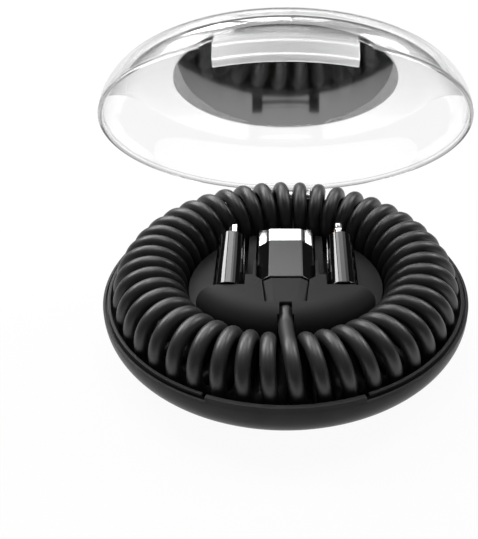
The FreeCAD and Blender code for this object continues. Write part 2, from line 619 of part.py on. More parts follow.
def make_upper_plug():
    """Plug with the small oval tip: housing, boot, shell, insulator, contacts and board."""
    root = f"({C_FACE} - tip_root)"
    tip = ("c_tip_width", "c_tip_height", "c_tip_round")
    liner = [f"({size} - 2 * shell_wall)" for size in tip[:2]] + ["(c_tip_round - shell_wall)"]
    body = new_body("usb_c_housing")
    shape = octagon(C_Z, "c_width", "c_height", "c_facet", "c_side")
    pad(body, "c_block", outline(body, "c_section", "XZ_Plane", shape, C_FRONT), "c_length", True)
    cut = outline(body, "c_corner_right_section", "XY_Plane", [
        ("c_width / 2", f"-{C_FRONT}"), ("c_width / 2", f"-({C_FRONT} - c_corner)"),
        ("c_width / 2 - c_corner", f"-{C_FRONT}"),
    ], f"{C_Z} + c_height / 2")
    pocket(body, "c_corner_right", cut, "c_height")
    cut = outline(body, "c_corner_left_section", "XY_Plane", [
        ("-c_width / 2", f"-{C_FRONT}"), ("-(c_width / 2 - c_corner)", f"-{C_FRONT}"),
        ("-c_width / 2", f"-({C_FRONT} - c_corner)"),
    ], f"{C_Z} + c_height / 2")
    pocket(body, "c_corner_left", cut, "c_height")
    seat = outline(body, "c_tip_seat_section", "XZ_Plane", rounded("0", C_Z, *tip), f"-{root}")
    pocket(body, "c_tip_seat", seat, "tip_root")
    room = outline(body, "c_board_room_section", "XZ_Plane", rectangle(
        "-(c_slot_width / 2 + seat_gap)", f"{C_Z} - c_board_thickness / 2 - seat_gap",
        "c_slot_width / 2 + seat_gap", f"{C_Z} + c_board_thickness / 2 + seat_gap"),
        f"-({root} - c_board_length)")
    pocket(body, "c_board_room", room, "c_board_length")
    boot = new_body("usb_c_boot")
    near = octagon(C_Z, "c_boot_width", "c_boot_height", "c_boot_facet", "c_boot_side")
    far = octagon(C_LEAD_Z, "c_boot_end_width", "c_boot_end_height",
                  "c_boot_facet * c_boot_end_width / c_boot_width",
                  "c_boot_side * c_boot_end_height / c_boot_height")
    loft(boot, "c_boot", outline(boot, "c_boot_near", "XZ_Plane", near, C_FRONT),
         outline(boot, "c_boot_far", "XZ_Plane", far, f"{C_FRONT} + c_boot_length"))
    sleeve("usb_c_shell", root, "c_tip_length + tip_root",
           rounded("0", C_Z, *tip), rounded("0", C_Z, *liner))
    body = new_body("usb_c_insulator")
    depth = "(c_tip_length + tip_root - shell_wall)"
    core = outline(body, "c_core_section", "XZ_Plane", rounded("0", C_Z, *liner), f"-{root}")
    pad(body, "c_core", core, depth, True)
    slot = outline(body, "c_slot_section", "XZ_Plane", rectangle(
        "-c_slot_width / 2", f"{C_Z} - c_slot_height / 2", "c_slot_width / 2", f"{C_Z} + c_slot_height / 2"),
        f"-({root} + {depth} - c_slot_depth)")
    pocket(body, "c_slot", slot, "c_slot_depth")
    pitch = "(c_slot_width / 13)"
    boxes = []
    for place in range(12):
        left = f"({place} - 5.5) * {pitch} - {pitch} / 4"
        start = f"{root} + {depth} - c_slot_depth"
        for low in (f"{C_Z} - c_slot_height / 2", f"{C_Z} + c_slot_height / 2 - contact"):
            boxes.append(((left, start, low), (f"{pitch} / 2", "c_slot_depth - 2 * shell_wall", "contact")))
    group("usb_c_contacts", boxes)
    nodes.append(block("usb_c_board", ("-c_slot_width / 2", f"{root} - c_board_length + seat_gap",
                                       f"{C_Z} - c_board_thickness / 2"),
                       ("c_slot_width", "c_board_length - seat_gap", "c_board_thickness")))


def make_lower_plug():
    """Plug with the large flat tip: housing, boot, shell with windows, tongue and contacts."""
    root = f"({A_FACE} - tip_root)"
    end = f"({A_FACE} + a_tip_length)"
    tip = ("a_tip_width", "a_tip_height", "a_tip_round")
    inside = ("a_tip_width - 2 * shell_wall", "a_tip_height - 2 * shell_wall", "a_tip_round - shell_wall")
    body = new_body("usb_a_housing")
    shape = rounded("0", A_Z, "a_width", "a_height", "a_round")
    pad(body, "a_block", outline(body, "a_section", "XZ_Plane", shape, A_FRONT), "a_length", True)
    seat = outline(body, "a_tip_seat_section", "XZ_Plane", rounded("0", A_Z, *tip), f"-{root}")
    pocket(body, "a_tip_seat", seat, "tip_root")
    boot = doc.addObject("Part::Cone", "usb_a_boot")
    boot.Label = "usb_a_boot"
    for side, text in (("Radius1", "a_boot_radius"), ("Radius2", "a_boot_end"), ("Height", "a_boot_length")):
        boot.setExpression(side, tie(text))
    boot.Placement = FreeCAD.Placement(
        FreeCAD.Vector(), FreeCAD.Rotation(FreeCAD.Vector(0, 0, 1), FreeCAD.Vector(0, -1, 0)))
    boot.setExpression("Placement.Base.y", tie(f"-{A_FRONT}"))
    boot.setExpression("Placement.Base.z", tie(A_Z))
    nodes.append(boot)
    shell = sleeve("usb_a_shell", root, "a_tip_length + tip_root", rounded("0", A_Z, *tip),
                   rounded("0", A_Z, *inside))
    half = "a_window / 2"
    for side, sign in (("right", "1"), ("left", "-1")):
        window = outline(shell, f"window_{side}_section", "XY_Plane", rectangle(
            f"{sign} * a_window_offset - {half}", f"{end} - a_window_back - {half}",
            f"{sign} * a_window_offset + {half}", f"{end} - a_window_back + {half}"),
            f"{A_Z} + a_tip_height / 2")
        pocket(shell, f"window_{side}", window, "a_tip_height / 2")
    low = f"{A_Z} - a_tip_height / 2 + shell_wall"
    across = "a_tip_width - 2 * a_tip_round"
    nodes.append(block("usb_a_tongue", (f"-({across}) / 2", root, low),
                       (across, "a_tip_length + tip_root - shell_wall", "a_tongue")))
    pitch = "(a_tip_width / 5)"
    boxes = []
    for place, reach in enumerate((1, 2, 2, 1)):
        left = f"({place} - 1.5) * {pitch} - {pitch} / 4"
        boxes.append(((left, root, f"{low} + a_tongue"),
                      (f"{pitch} / 2", f"a_tip_length + tip_root - {reach} * a_tip_round * 2", "contact")))
    group("usb_a_contacts", boxes)


def make_adapter(name, sign, tip_seat):
    """Adapter housing on its edge with a socket at the front and a seat for its tip at the back."""
    body = new_body(name + "_housing")
    x = f"{sign} * {ADAPTER_X}"
    front = outline(body, name + "_front_section", "XZ_Plane", rounded(
        x, ADAPTER_Z, "adapter_width", "adapter_height", "adapter_round"), ADAPTER_FRONT)
    nose = outline(body, name + "_nose_section", "XZ_Plane", rounded(
        x, ADAPTER_Z, "adapter_width - adapter_nose", "adapter_height",
        "adapter_round - adapter_nose / 2"), f"-{ADAPTER_FACE}")
    loft(body, name + "_block", front, nose)
    seat = outline(body, name + "_seat_section", "XZ_Plane", tip_seat, f"-({ADAPTER_FACE} - tip_root)")
    pocket(body, name + "_seat", seat, "tip_root")
    mouth = ("socket_height", "socket_width", "socket_round")
    opening = outline(body, name + "_socket_section", "XZ_Plane",
                      rounded(x, ADAPTER_Z, *mouth), ADAPTER_FRONT)
    pocket(body, name + "_socket", opening, "socket_depth")
    lining = [f"({size} - 2 * shell_wall)" for size in mouth[:2]] + ["(socket_round - shell_wall)"]
    sleeve(name + "_socket_shell", f"-{ADAPTER_FRONT}", "socket_depth", rounded(x, ADAPTER_Z, *mouth),
           rounded(x, ADAPTER_Z, *lining))
    tongue = new_body(name + "_socket_tongue")
    plug_start = f"{ADAPTER_FRONT} - socket_depth * 3 / 4"
    plug = outline(tongue, name + "_plug_section", "XZ_Plane", rounded(x, ADAPTER_Z, *lining), plug_start)
    pad(tongue, name + "_plug", plug, "socket_depth / 4", True)
    tongue_shape = rectangle(f"{x} - socket_tongue / 2", f"{ADAPTER_Z} - c_slot_width / 2",
                             f"{x} + socket_tongue / 2", f"{ADAPTER_Z} + c_slot_width / 2")
    strip = outline(tongue, name + "_strip_section", "XZ_Plane", tongue_shape, plug_start)
    pad(tongue, name + "_strip", strip, "socket_depth * 5 / 8")


def trapezoid_tip(x, grow):
    """Five-contact tip: one long face, and slanted corners at the other."""
    thick = f"(micro_height / 2 + {grow})"
    tall = f"(micro_width / 2 + {grow})"
    slant = f"(micro_chamfer + {grow} / 2)"
    left, right = f"{x} - {thick}", f"{x} + {thick}"
    low, high = f"{ADAPTER_Z} - {tall}", f"{ADAPTER_Z} + {tall}"
    return [
        (left, f"{low} + {slant}"), (f"{left} + {slant}", low), (right, low),
        (right, high), (f"{left} + {slant}", high), (left, f"{high} - {slant}"),
    ]


def make_micro_adapter():
    """Left adapter: hollow tip with slanted corners, a tongue and five contacts."""
    x = f"(-{ADAPTER_X})"
    root = f"({ADAPTER_FACE} - tip_root)"
    make_adapter("micro", "-1", trapezoid_tip(x, "0"))
    sleeve("micro_tip", root, "micro_length + tip_root",
           trapezoid_tip(x, "0"), trapezoid_tip(x, "(-shell_wall)"))
    half = "micro_height / 2 - shell_wall"
    tall = "(micro_width - 2 * shell_wall - 2 * micro_chamfer)"
    thick = "socket_tongue"
    nodes.append(block("micro_tongue", (f"{x} + {half} - {thick}", root, f"{ADAPTER_Z} - {tall} / 2"),
                       (thick, "micro_length + tip_root - shell_wall", tall)))
    pitch = f"({tall} / 5)"
    boxes = []
    for place in range(5):
        low = f"{ADAPTER_Z} + ({place} - 2) * {pitch} - {pitch} / 4"
        boxes.append(((f"{x} + {half} - {thick} - contact", root, low),
                      ("contact", "micro_length + tip_root - 2 * shell_wall", f"{pitch} / 2")))
    group("micro_contacts", boxes)


def make_blade_adapter():
    """Right adapter: flat blade with eight contacts on each face and a notch in each edge."""
    x = ADAPTER_X
    root = f"({ADAPTER_FACE} - tip_root)"
    shape = rounded(x, ADAPTER_Z, "blade_height", "blade_width", "blade_round")
    make_adapter("blade", "1", shape)
    body = new_body("blade_tip")
    section = outline(body, "blade_section", "XZ_Plane", shape, f"-{root}")
    pad(body, "blade", section, "blade_length + tip_root", True)
    centre = f"{ADAPTER_FACE} + blade_length - blade_notch_back"
    for edge, sign in (("upper", "1"), ("lower", "-1")):
        notch = circle(body, f"notch_{edge}_section", "YZ_Plane", centre,
                       f"{ADAPTER_Z} + {sign} * (blade_width / 2 + blade_notch)", "2 * blade_notch", x)
        pocket(body, f"notch_{edge}", notch, "2 * blade_height", True)
    pitch = "((blade_width - 2 * blade_round) / 8)"
    boxes = []
    for place in range(8):
        low = f"{ADAPTER_Z} + ({place} - 3.5) * {pitch} - {pitch} / 3"
        for face in (f"{x} - blade_height / 2 - blade_contact", f"{x} + blade_height / 2"):
            boxes.append(((face, f"{ADAPTER_FACE} + blade_notch_back", low),
                          ("blade_contact", "blade_length / 2", f"{pitch} * 2 / 3")))
    group("blade_contacts", boxes)


make_base_shell()
make_hinge_pin()
make_lid()
make_plug_holder()
make_cable()
make_upper_plug()
make_lower_plug()
make_micro_adapter()
make_blade_adapter()
doc.recompute()

for item in doc.Objects:
    if "Invalid" in item.State or "Error" in item.State:
        raise RuntimeError(f"{item.Label} failed to build")
for node in nodes:
    if node.Shape.isNull() or not node.Shape.isValid():
        raise RuntimeError(f"{node.Label} has no valid shape")

os.makedirs("parts", exist_ok=True)
for node in nodes:
    node.Shape.exportStep(f"parts/{node.Label}.step")
    print(f"{node.Label}: {len(node.Shape.Solids)} solid(s), {node.Shape.Volume:.2f} mm3")
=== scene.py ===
"""Coiled charging cable in a round case with a clear lid: meshes, finishes, cord and studio."""
import json
import logging
import math
from contextlib import contextmanager
from dataclasses import dataclass
from enum import Enum
from typing import Any, ClassVar, Iterator, Optional, Sequence

import bpy
from mathutils import Matrix, Vector


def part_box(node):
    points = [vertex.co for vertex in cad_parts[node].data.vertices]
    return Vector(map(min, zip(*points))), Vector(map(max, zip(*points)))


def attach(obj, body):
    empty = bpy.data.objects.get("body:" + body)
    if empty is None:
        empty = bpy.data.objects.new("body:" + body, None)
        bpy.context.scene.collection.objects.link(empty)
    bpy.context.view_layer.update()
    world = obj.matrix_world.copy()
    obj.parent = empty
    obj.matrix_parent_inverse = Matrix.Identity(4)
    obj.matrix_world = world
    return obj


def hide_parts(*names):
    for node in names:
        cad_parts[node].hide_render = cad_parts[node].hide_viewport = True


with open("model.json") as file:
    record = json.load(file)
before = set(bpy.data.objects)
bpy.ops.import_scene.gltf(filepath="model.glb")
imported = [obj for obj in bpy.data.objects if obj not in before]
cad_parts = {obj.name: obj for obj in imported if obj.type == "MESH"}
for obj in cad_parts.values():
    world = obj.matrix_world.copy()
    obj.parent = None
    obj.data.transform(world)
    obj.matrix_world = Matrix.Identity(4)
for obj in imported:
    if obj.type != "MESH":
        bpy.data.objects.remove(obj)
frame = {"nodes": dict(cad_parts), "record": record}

LOG = logging.getLogger("coiled_cable_case")
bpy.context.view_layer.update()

MM = 0.001
PHOTO_WIDTH = 478
PHOTO_HEIGHT = 539
TURN = 2 * math.pi
HAIR = 0.02  # millimetres by which pieces reach into each other to weld well
OVERSHOOT = 1.0  # millimetres by which a cutter passes the surface it cuts
FRONT = -90.0  # direction of the latch, in degrees from +X

Piece = bpy.types.Object
Point = tuple[float, float]
Colour = tuple[float, float, float]


# Meshes

def deselect() -> None:
    """Leave object mode and select nothing."""
    if bpy.context.object and bpy.context.object.mode != "OBJECT":
        bpy.ops.object.mode_set(mode="OBJECT")
    bpy.ops.object.select_all(action="DESELECT")


def activate(piece: Piece) -> None:
    """Select one piece only and make it the active one.

    Args:
        piece: The piece.
    """
    deselect()
    piece.select_set(True)
    bpy.context.view_layer.objects.active = piece


@contextmanager
def editing(piece: Piece) -> Iterator[None]:
    """Edit mode on one piece with all of its mesh selected.

    Args:
        piece: The piece.

    Yields:
        Nothing, while the mode lasts.
    """
    activate(piece)
    bpy.ops.object.mode_set(mode="EDIT")
    bpy.ops.mesh.select_all(action="SELECT")
    yield
    bpy.ops.object.mode_set(mode="OBJECT")


def from_points(name: str, points: Sequence[Sequence[float]], closed: bool, filled: bool) -> Piece:
    """Line or face through points.

    Args:
        name: The piece's name.
        points: Places in millimetres.
        closed: Whether the last point joins the first.
        filled: Whether the points bound one face.

    Returns:
        The new object, at the origin.
    """
    count = len(points)
    spots = [Vector(point) * MM for point in points]
    edges = [(i, i + 1) for i in range(count - 1)] + ([(count - 1, 0)] if closed else [])
    mesh = bpy.data.meshes.new(name)
    mesh.from_pydata(spots, [] if filled else edges, [list(range(count))] if filled else [])
    piece = bpy.data.objects.new(name, mesh)
    bpy.context.scene.collection.objects.link(piece)
    return piece


def arc(centre: Point, radius: float, first: float, last: float, steps: int) -> list[Point]:
    """Points of an arc.

    Args:
        centre: Its centre.
        radius: Its radius.
        first: Start angle in degrees.
        last: End angle in degrees.
        steps: Number of chords.

    Returns:
        The points from first to last.
    """
    angles = [math.radians(first + (last - first) * i / steps) for i in range(steps + 1)]
    return [(centre[0] + radius * math.cos(a), centre[1] + radius * math.sin(a)) for a in angles]


def rounded(centre: Point, width: float, height: float, radius: float, steps: int = 8) -> list[Point]:
    """Outline of a rectangle with rounded corners, counter-clockwise.

    Args:
        centre: Its centre.
        width: Its first size.
        height: Its second size.
        radius: Its corners' radius.
        steps: Chords in a corner.

    Returns:
        The outline's points.
    """
    across, up = width / 2 - radius, height / 2 - radius
    outline: list[Point] = []
    for quarter, (sx, sy) in enumerate(((1, 1), (-1, 1), (-1, -1), (1, -1))):
        corner = (centre[0] + sx * across, centre[1] + sy * up)
        outline += arc(corner, radius, 90 * quarter, 90 * quarter + 90, steps)
    return outline


def octagon(centre: Point, width: float, height: float, facet: float, side: float) -> list[Point]:
    """Section with flat top, bottom and sides and slanted faces between.

    Args:
        centre: Its centre.
        width: Its whole width.
        height: Its whole height.
        facet: Width of the top and the bottom.
        side: Height of the sides.

    Returns:
        The outline's points, counter-clockwise.
    """
    w, h, f, s = width / 2, height / 2, facet / 2, side / 2
    corners = ((w, s), (f, h), (-f, h), (-w, s), (-w, -s), (-f, -h), (f, -h), (w, -s))
    return [(centre[0] + x, centre[1] + z) for x, z in corners]


def spun(name: str, outline: Sequence[Point], steps: int, sweep: float = 360, middle: float = 0) -> Piece:
    """Spin an outline of (radius, height) about the upright axis.

    Args:
        name: The piece's name.
        outline: A closed outline in millimetres.
        steps: Number of steps.
        sweep: Degrees of turn; less than a full one gives capped ends.
        middle: Direction of the sweep's middle in degrees from +X.

    Returns:
        A closed mesh.
    """
    whole = sweep >= 360
    piece = from_points(name, [(r, 0, z) for r, z in outline], closed=True, filled=not whole)
    with editing(piece):
        bpy.ops.mesh.spin(steps=steps, angle=math.radians(sweep), center=(0, 0, 0), axis=(0, 0, 1))
        bpy.ops.mesh.select_all(action="SELECT")
        bpy.ops.mesh.remove_doubles(threshold=MM / 1000)
        bpy.ops.mesh.normals_make_consistent(inside=False)
    if not whole:
        now = mesh_middle(piece)
        turn = math.radians(middle) - math.atan2(now.y, now.x)
        piece.data.transform(Matrix.Rotation(turn, 4, "Z"))
    return piece


def mesh_middle(piece: Piece) -> Vector:
    """Mean of a mesh's corners."""
    return sum((v.co for v in piece.data.vertices), Vector()) / len(piece.data.vertices)


def lofted(name: str, sections: Sequence[tuple[float, Sequence[Point]]]) -> Piece:
    """Closed skin through outlines that stand across Y.

    Args:
        name: The piece's name.
        sections: Place along Y and outline of (x, z), all with as many points.

    Returns:
        The skin with both ends filled.
    """
    parts = [from_points(name, [(x, y, z) for x, z in outline], closed=True, filled=False)
             for y, outline in sections]
    deselect()
    for part in parts:
        part.select_set(True)
    bpy.context.view_layer.objects.active = parts[0]
    bpy.ops.object.join()
    with editing(parts[0]):
        bpy.ops.mesh.bridge_edge_loops()
        bpy.ops.mesh.select_all(action="SELECT")
        bpy.ops.mesh.fill_holes(sides=0)
        bpy.ops.mesh.select_all(action="SELECT")
        bpy.ops.mesh.normals_make_consistent(inside=False)
    return parts[0]


def prism(name: str, outline: Sequence[Point], first: float, last: float) -> Piece:
    """Straight bar of one section (x, z) from first to last along Y."""
    return lofted(name, [(first, outline), (last, outline)])


def block(name: str, low: Sequence[float], high: Sequence[float]) -> Piece:
    """Box between two corners in millimetres.

    Args:
        name: The piece's name.
        low: Its lower corner.
        high: Its upper corner.

    Returns:
        The box.
    """
    deselect()
    centre = [(a + b) / 2 * MM for a, b in zip(low, high)]
    bpy.ops.mesh.primitive_cube_add(size=1, location=centre)
    piece = bpy.context.object
    piece.name = name
    piece.scale = [(b - a) * MM for a, b in zip(low, high)]
    bpy.ops.object.transform_apply(location=True, rotation=True, scale=True)
    return piece


def bar(name: str, centre: Sequence[float], radius: float, length: float, axis: str,
        sides: int = 48) -> Piece:
    """Round bar centred on a point.

    Args:
        name: The piece's name.
        centre: Its middle in millimetres.
        radius: Its radius in millimetres.
        length: Its length in millimetres.
        axis: X, Y or Z.
        sides: Facets round it.

    Returns:
        The bar.
    """
    deselect()
    turn = {"X": (0, math.pi / 2, 0), "Y": (math.pi / 2, 0, 0), "Z": (0, 0, 0)}[axis]
    bpy.ops.mesh.primitive_cylinder_add(
        vertices=sides, radius=radius * MM, depth=length * MM,
        location=[c * MM for c in centre], rotation=turn)
    piece = bpy.context.object
    piece.name = name
    bpy.ops.object.transform_apply(location=True, rotation=True, scale=True)
    return piece


class Join(Enum):
    """How a second mesh changes the first one."""

    CUT = "DIFFERENCE"
    ADD = "UNION"


def combine(piece: Piece, tool: Piece, how: Join) -> None:
    """Cut a tool mesh out of a piece or weld it on, and remove the tool.

    Args:
        piece: The piece that changes.
        tool: The mesh that is used up.
        how: Cut or weld.
    """
    activate(piece)
    modifier = piece.modifiers.new("combine", "BOOLEAN")
    modifier.operation = how.value
    modifier.solver = "EXACT"
    modifier.object = tool
    bpy.ops.object.modifier_apply(modifier=modifier.name)
    bpy.data.objects.remove(tool, do_unlink=True)


def tube(name: str, outside: Sequence[Point], inside: Sequence[Point], first: float, last: float) -> Piece:
    """Prism that is hollow from end to end.

    Args:
        name: The piece's name.
        outside: Its section (x, z).
        inside: The hollow's section.
        first: Place of one end along Y in millimetres.
        last: Place of the other end.

    Returns:
        The tube.
    """
    piece = prism(name, outside, first, last)
    combine(piece, prism("hollow", inside, first - OVERSHOOT, last + OVERSHOOT), Join.CUT)
    return piece


def soften(piece: Piece, width: float, segments: int = 2, angle: float = 35, flat: bool = True) -> None:
    """Round a piece's edges and shade it smooth between them.

    Args:
        piece: The piece.
        width: Width of the rounding in millimetres.
        segments: Facets across it.
        angle: Least angle of an edge that is rounded, in degrees.
        flat: Whether large flat faces keep an even shade.
    """
    activate(piece)
    if width > 0:
        modifier = piece.modifiers.new("soften", "BEVEL")
        modifier.width = width * MM
        modifier.segments = segments
        modifier.limit_method = "ANGLE"
        modifier.angle_limit = math.radians(angle)
        modifier.use_clamp_overlap = True
        bpy.ops.object.modifier_apply(modifier=modifier.name)
    bpy.ops.object.shade_smooth_by_angle(angle=math.radians(angle))
    if width > 0 and flat:
        even = piece.modifiers.new("even", "WEIGHTED_NORMAL")
        even.keep_sharp = True
        bpy.ops.object.modifier_apply(modifier=even.name)


def settle(piece: Piece, node: str, body: str, finish: bpy.types.Material) -> None:
    """Dress a piece, let it stand for its node and ride on its body.

    Args:
        piece: The piece.
        node: The node of the frame that it replaces.
        body: Its body in the record.
        finish: Its material.
    """
    piece.name = node + "_skin"
    piece.data.name = piece.name
    piece.data.materials.clear()
    piece.data.materials.append(finish)
    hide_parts(node)
    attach(piece, body)
    LOG.info("%s: %d faces", piece.name, len(piece.data.polygons))


def dress(node: str, finish: bpy.types.Material) -> None:
    """Give a node of the frame a finish.

    Args:
        node: The node.
        finish: Its material.
    """
    materials = frame["nodes"][node].data.materials
    materials.clear()
    materials.append(finish)
    LOG.info("%s: finish %s", node, finish.name)


# Finishes

class Shade:
    """One socket of a material's nodes, with arithmetic."""

    def __init__(self, graph: "Graph", socket: bpy.types.NodeSocket) -> None:
        """Wrap a socket of a graph."""
        self.graph = graph
        self.socket = socket

    def _math(self, operation: str, first: Any, second: Any) -> "Shade":
        """Add a Math node."""
        return self.graph.node("ShaderNodeMath", {"operation": operation}, {0: first, 1: second})

    def __add__(self, other: Any) -> "Shade":
        """Sum."""
        return self._math("ADD", self, other)

    __radd__ = __add__

    def __sub__(self, other: Any) -> "Shade":
        """Difference."""
        return self._math("SUBTRACT", self, other)

    def __rsub__(self, other: Any) -> "Shade":
        """Difference from a number."""
        return self._math("SUBTRACT", other, self)

    def __mul__(self, other: Any) -> "Shade":
        """Product."""
        return self._math("MULTIPLY", self, other)

    __rmul__ = __mul__

    def __pow__(self, other: Any) -> "Shade":
        """Power."""
        return self._math("POWER", self, other)


class Graph:
    """A material with one principled shader and the nodes that feed it."""

    def __init__(self, name: str) -> None:
        """Start a material of that name.

        Args:
            name: The material's name.
        """
        self.material = bpy.data.materials.new(name)
        self.material.use_nodes = True
        self.tree = self.material.node_tree
        self.shader = self.tree.nodes["Principled BSDF"]

    @classmethod
    def of(cls, tree: bpy.types.NodeTree) -> "Graph":
        """Wrap a tree that has no principled shader.

        Args:
            tree: The node tree.

        Returns:
            Its graph.
        """
        graph = cls.__new__(cls)
        graph.tree = tree
        return graph

    def node(self, kind: str, settings: dict[str, Any], inputs: dict[Any, Any], output: Any = 0) -> Shade:
        """Add any node.

        Args:
            kind: The node's type.
            settings: Its properties, set first.
            inputs: Values or shades for its sockets, by name or number.
            output: The socket that is wanted.

        Returns:
            That socket.
        """
        node = self.tree.nodes.new(kind)
        for key, value in settings.items():
            setattr(node, key, value)
        for key, value in inputs.items():
            self.feed(node.inputs[key], value)
        return Shade(self, node.outputs[output])

    def feed(self, socket: bpy.types.NodeSocket, value: Any) -> None:
        """Link a shade to a socket, or set its value.

        Args:
            socket: The socket.
            value: A shade or a plain value.
        """
        if isinstance(value, Shade):
            self.tree.links.new(value.socket, socket)
        else:
            socket.default_value = value

    def set(self, **sockets: Any) -> None:
        """Feed sockets of the shader, named with underscores for spaces."""
        for key, value in sockets.items():
            self.feed(self.shader.inputs[key.replace("_", " ")], value)

    @property
    def plain(self) -> Shade:
        """What the principled shader gives."""
        return Shade(self, self.shader.outputs[0])

    def blend(self, share: Shade, first: Shade, second: Shade) -> Shade:
        """Surface between two, by share."""
        return self.node("ShaderNodeMixShader", {}, {0: share, 1: first, 2: second})

    def close(self, surface: Shade) -> None:
        """Give the material's surface in place of the plain shader."""
        self.feed(self.tree.nodes["Material Output"].inputs["Surface"], surface)

    def place(self) -> Shade:
        """Place on the piece, in metres."""
        return self.node("ShaderNodeTexCoord", {}, {}, "Object")

    def noise(self, scale: float, detail: float = 2, stretch: Optional[Sequence[float]] = None) -> Shade:
        """Soft noise from 0 to 1.

        Args:
            scale: Spots in a metre.
            detail: Finer layers.
            stretch: Scale along each axis, where it differs.

        Returns:
            The noise.
        """
        place = self.place()
        if stretch:
            place = self.node("ShaderNodeMapping", {}, {"Vector": place, "Scale": stretch})
        inputs = {"Vector": place, "Scale": scale, "Detail": detail}
        return self.node("ShaderNodeTexNoise", {}, inputs, "Fac")

    def clouds(self) -> Shade:
        """Soft patches a few millimetres wide."""
        return self.noise(180, 3)

    def mix(self, share: Any, first: Colour, second: Colour) -> Shade:
        """Colour between two, by share."""
        return self.node("ShaderNodeMix", {"data_type": "RGBA"},
                         {"Factor": share, 6: (*first, 1), 7: (*second, 1)}, 2)

    def bump(self, height: Shade, depth: float, strength: float = 1.0) -> Shade:
        """Normal from a height field of that depth in metres."""
        return self.node("ShaderNodeBump", {}, {"Strength": strength, "Distance": depth, "Height": height})


@dataclass(frozen=True)
class Moulded:
    """Moulded plastic or rubber: fine grain, faint mottling, uneven gloss."""

    name: str
    colour: Colour
    roughness: float
    grain_mm: float = 0.25
    grain_depth_mm: float = 0.004
    mottle: float = 0.15
    gloss_spread: float = 0.06
    specular: float = 0.5
    coat: float = 0.0
    coat_roughness: float = 0.06

    def make(self) -> bpy.types.Material:
        """Build the material.

        Returns:
            The material.
        """
        graph = Graph(self.name)
        cloud = graph.clouds()
        grain = graph.noise(1 / (self.grain_mm * MM), 2)
        dark = tuple(c * (1 - self.mottle) for c in self.colour)
        light = tuple(min(c * (1 + self.mottle), 1) for c in self.colour)
        graph.set(Base_Color=graph.mix(cloud, dark, light),
                  Roughness=self.roughness - self.gloss_spread / 2 + cloud * self.gloss_spread,
                  Normal=graph.bump(grain, self.grain_depth_mm * MM),
                  Specular_IOR_Level=self.specular, Coat_Weight=self.coat,
                  Coat_Roughness=self.coat_roughness)
        return graph.material


@dataclass(frozen=True)
class ClearPlastic:
    """Polished clear plastic, faintly wavy, with a frosted latch tab, and painted shade that greys it towards
    grazing edges and along the rim.
    """

    name: str
    frost: str
    rim: str
    colour: Colour = (0.995, 0.997, 0.997)
    # Grey of the painted shade at grazing edges and on the rim.
    edge_painted_shade_colour: Colour = (0.2, 0.205, 0.205)
    edge_painted_shade_power: float = 4.0
    rim_painted_shade: float = 0.6
    bend: float = 1.49
    share: float = 0.09
    faces: tuple[float, float] = (0.52, 0.88)
    polish: float = 0.01
    gloss_spread: float = 0.02
    frosted: float = 0.7
    milky: float = 0.15
    milk: Colour = (0.9, 0.9, 0.9)
    ripple_mm: float = 9.0
    ripple_depth_mm: float = 0.02
    ripple_strength: float = 0.3

    def make(self) -> bpy.types.Material:
        """Build the material.

        Returns:
            The material.
        """
        graph = Graph(self.name)
        ripple = graph.noise(1 / (self.ripple_mm * MM), 1)
        frost, rim = (graph.node("ShaderNodeAttribute", {"attribute_name": name}, {}, "Fac")
                      for name in (self.frost, self.rim))
        slant = graph.node("ShaderNodeLayerWeight", {}, {"Blend": 0.5}, "Facing")
        # Painted shade: the glass colour turns dark grey towards grazing edges and on the marked rim.
        painted_shade = slant ** self.edge_painted_shade_power + rim * self.rim_painted_shade
        graph.set(Base_Color=graph.mix(painted_shade, self.colour, self.edge_painted_shade_colour),
                  Roughness=self.polish + ripple * self.gloss_spread + frost * self.frosted,
                  Transmission_Weight=1.0, IOR=self.bend,
                  Normal=graph.bump(ripple, self.ripple_depth_mm * MM, self.ripple_strength))
        turned = graph.node("ShaderNodeMapRange", {"clamp": True}, {
            "Value": slant, "From Min": self.faces[0], "From Max": self.faces[1]})
        through = graph.node("ShaderNodeBsdfTransparent", {}, {"Color": (1, 1, 1, 1)})
        both = graph.blend(self.share + (turned + frost + rim) * (1 - self.share), through, graph.plain)
        white = graph.node("ShaderNodeBsdfDiffuse", {}, {"Color": (*self.milk, 1)})
        graph.close(graph.blend(frost * self.milky, both, white))
        return graph.material


@dataclass(frozen=True)
class PlugHousing:
    """Polished black plug whose top facet is rougher and painted lighter grey as a painted highlight."""

    name: str
    top_mm: float
    colour: Colour = (0.003, 0.003, 0.0035)
    # Lighter grey of the painted highlight on the top facet.
    painted_highlight_colour: Colour = (0.14, 0.14, 0.142)
    roughness: float = 0.1
    top_rougher: float = 0.35
    gloss_spread: float = 0.05
    grain_mm: float = 0.25
    grain_depth_mm: float = 0.001

    def make(self) -> bpy.types.Material:
        """Build the material.

        Returns:
            The material.
        """
        graph = Graph(self.name)
        height = graph.node("ShaderNodeSeparateXYZ", {}, {0: graph.place()}, "Z")
        top = graph.node("ShaderNodeMath", {"operation": "GREATER_THAN"}, {0: height, 1: self.top_mm * MM})
        grain = graph.noise(1 / (self.grain_mm * MM), 2)
        # Painted highlight: above top_mm the colour turns lighter grey.
        graph.set(Base_Color=graph.mix(top, self.colour, self.painted_highlight_colour),
                  Roughness=self.roughness + graph.clouds() * self.gloss_spread + top * self.top_rougher,
                  Normal=graph.bump(grain, self.grain_depth_mm * MM))
        return graph.material


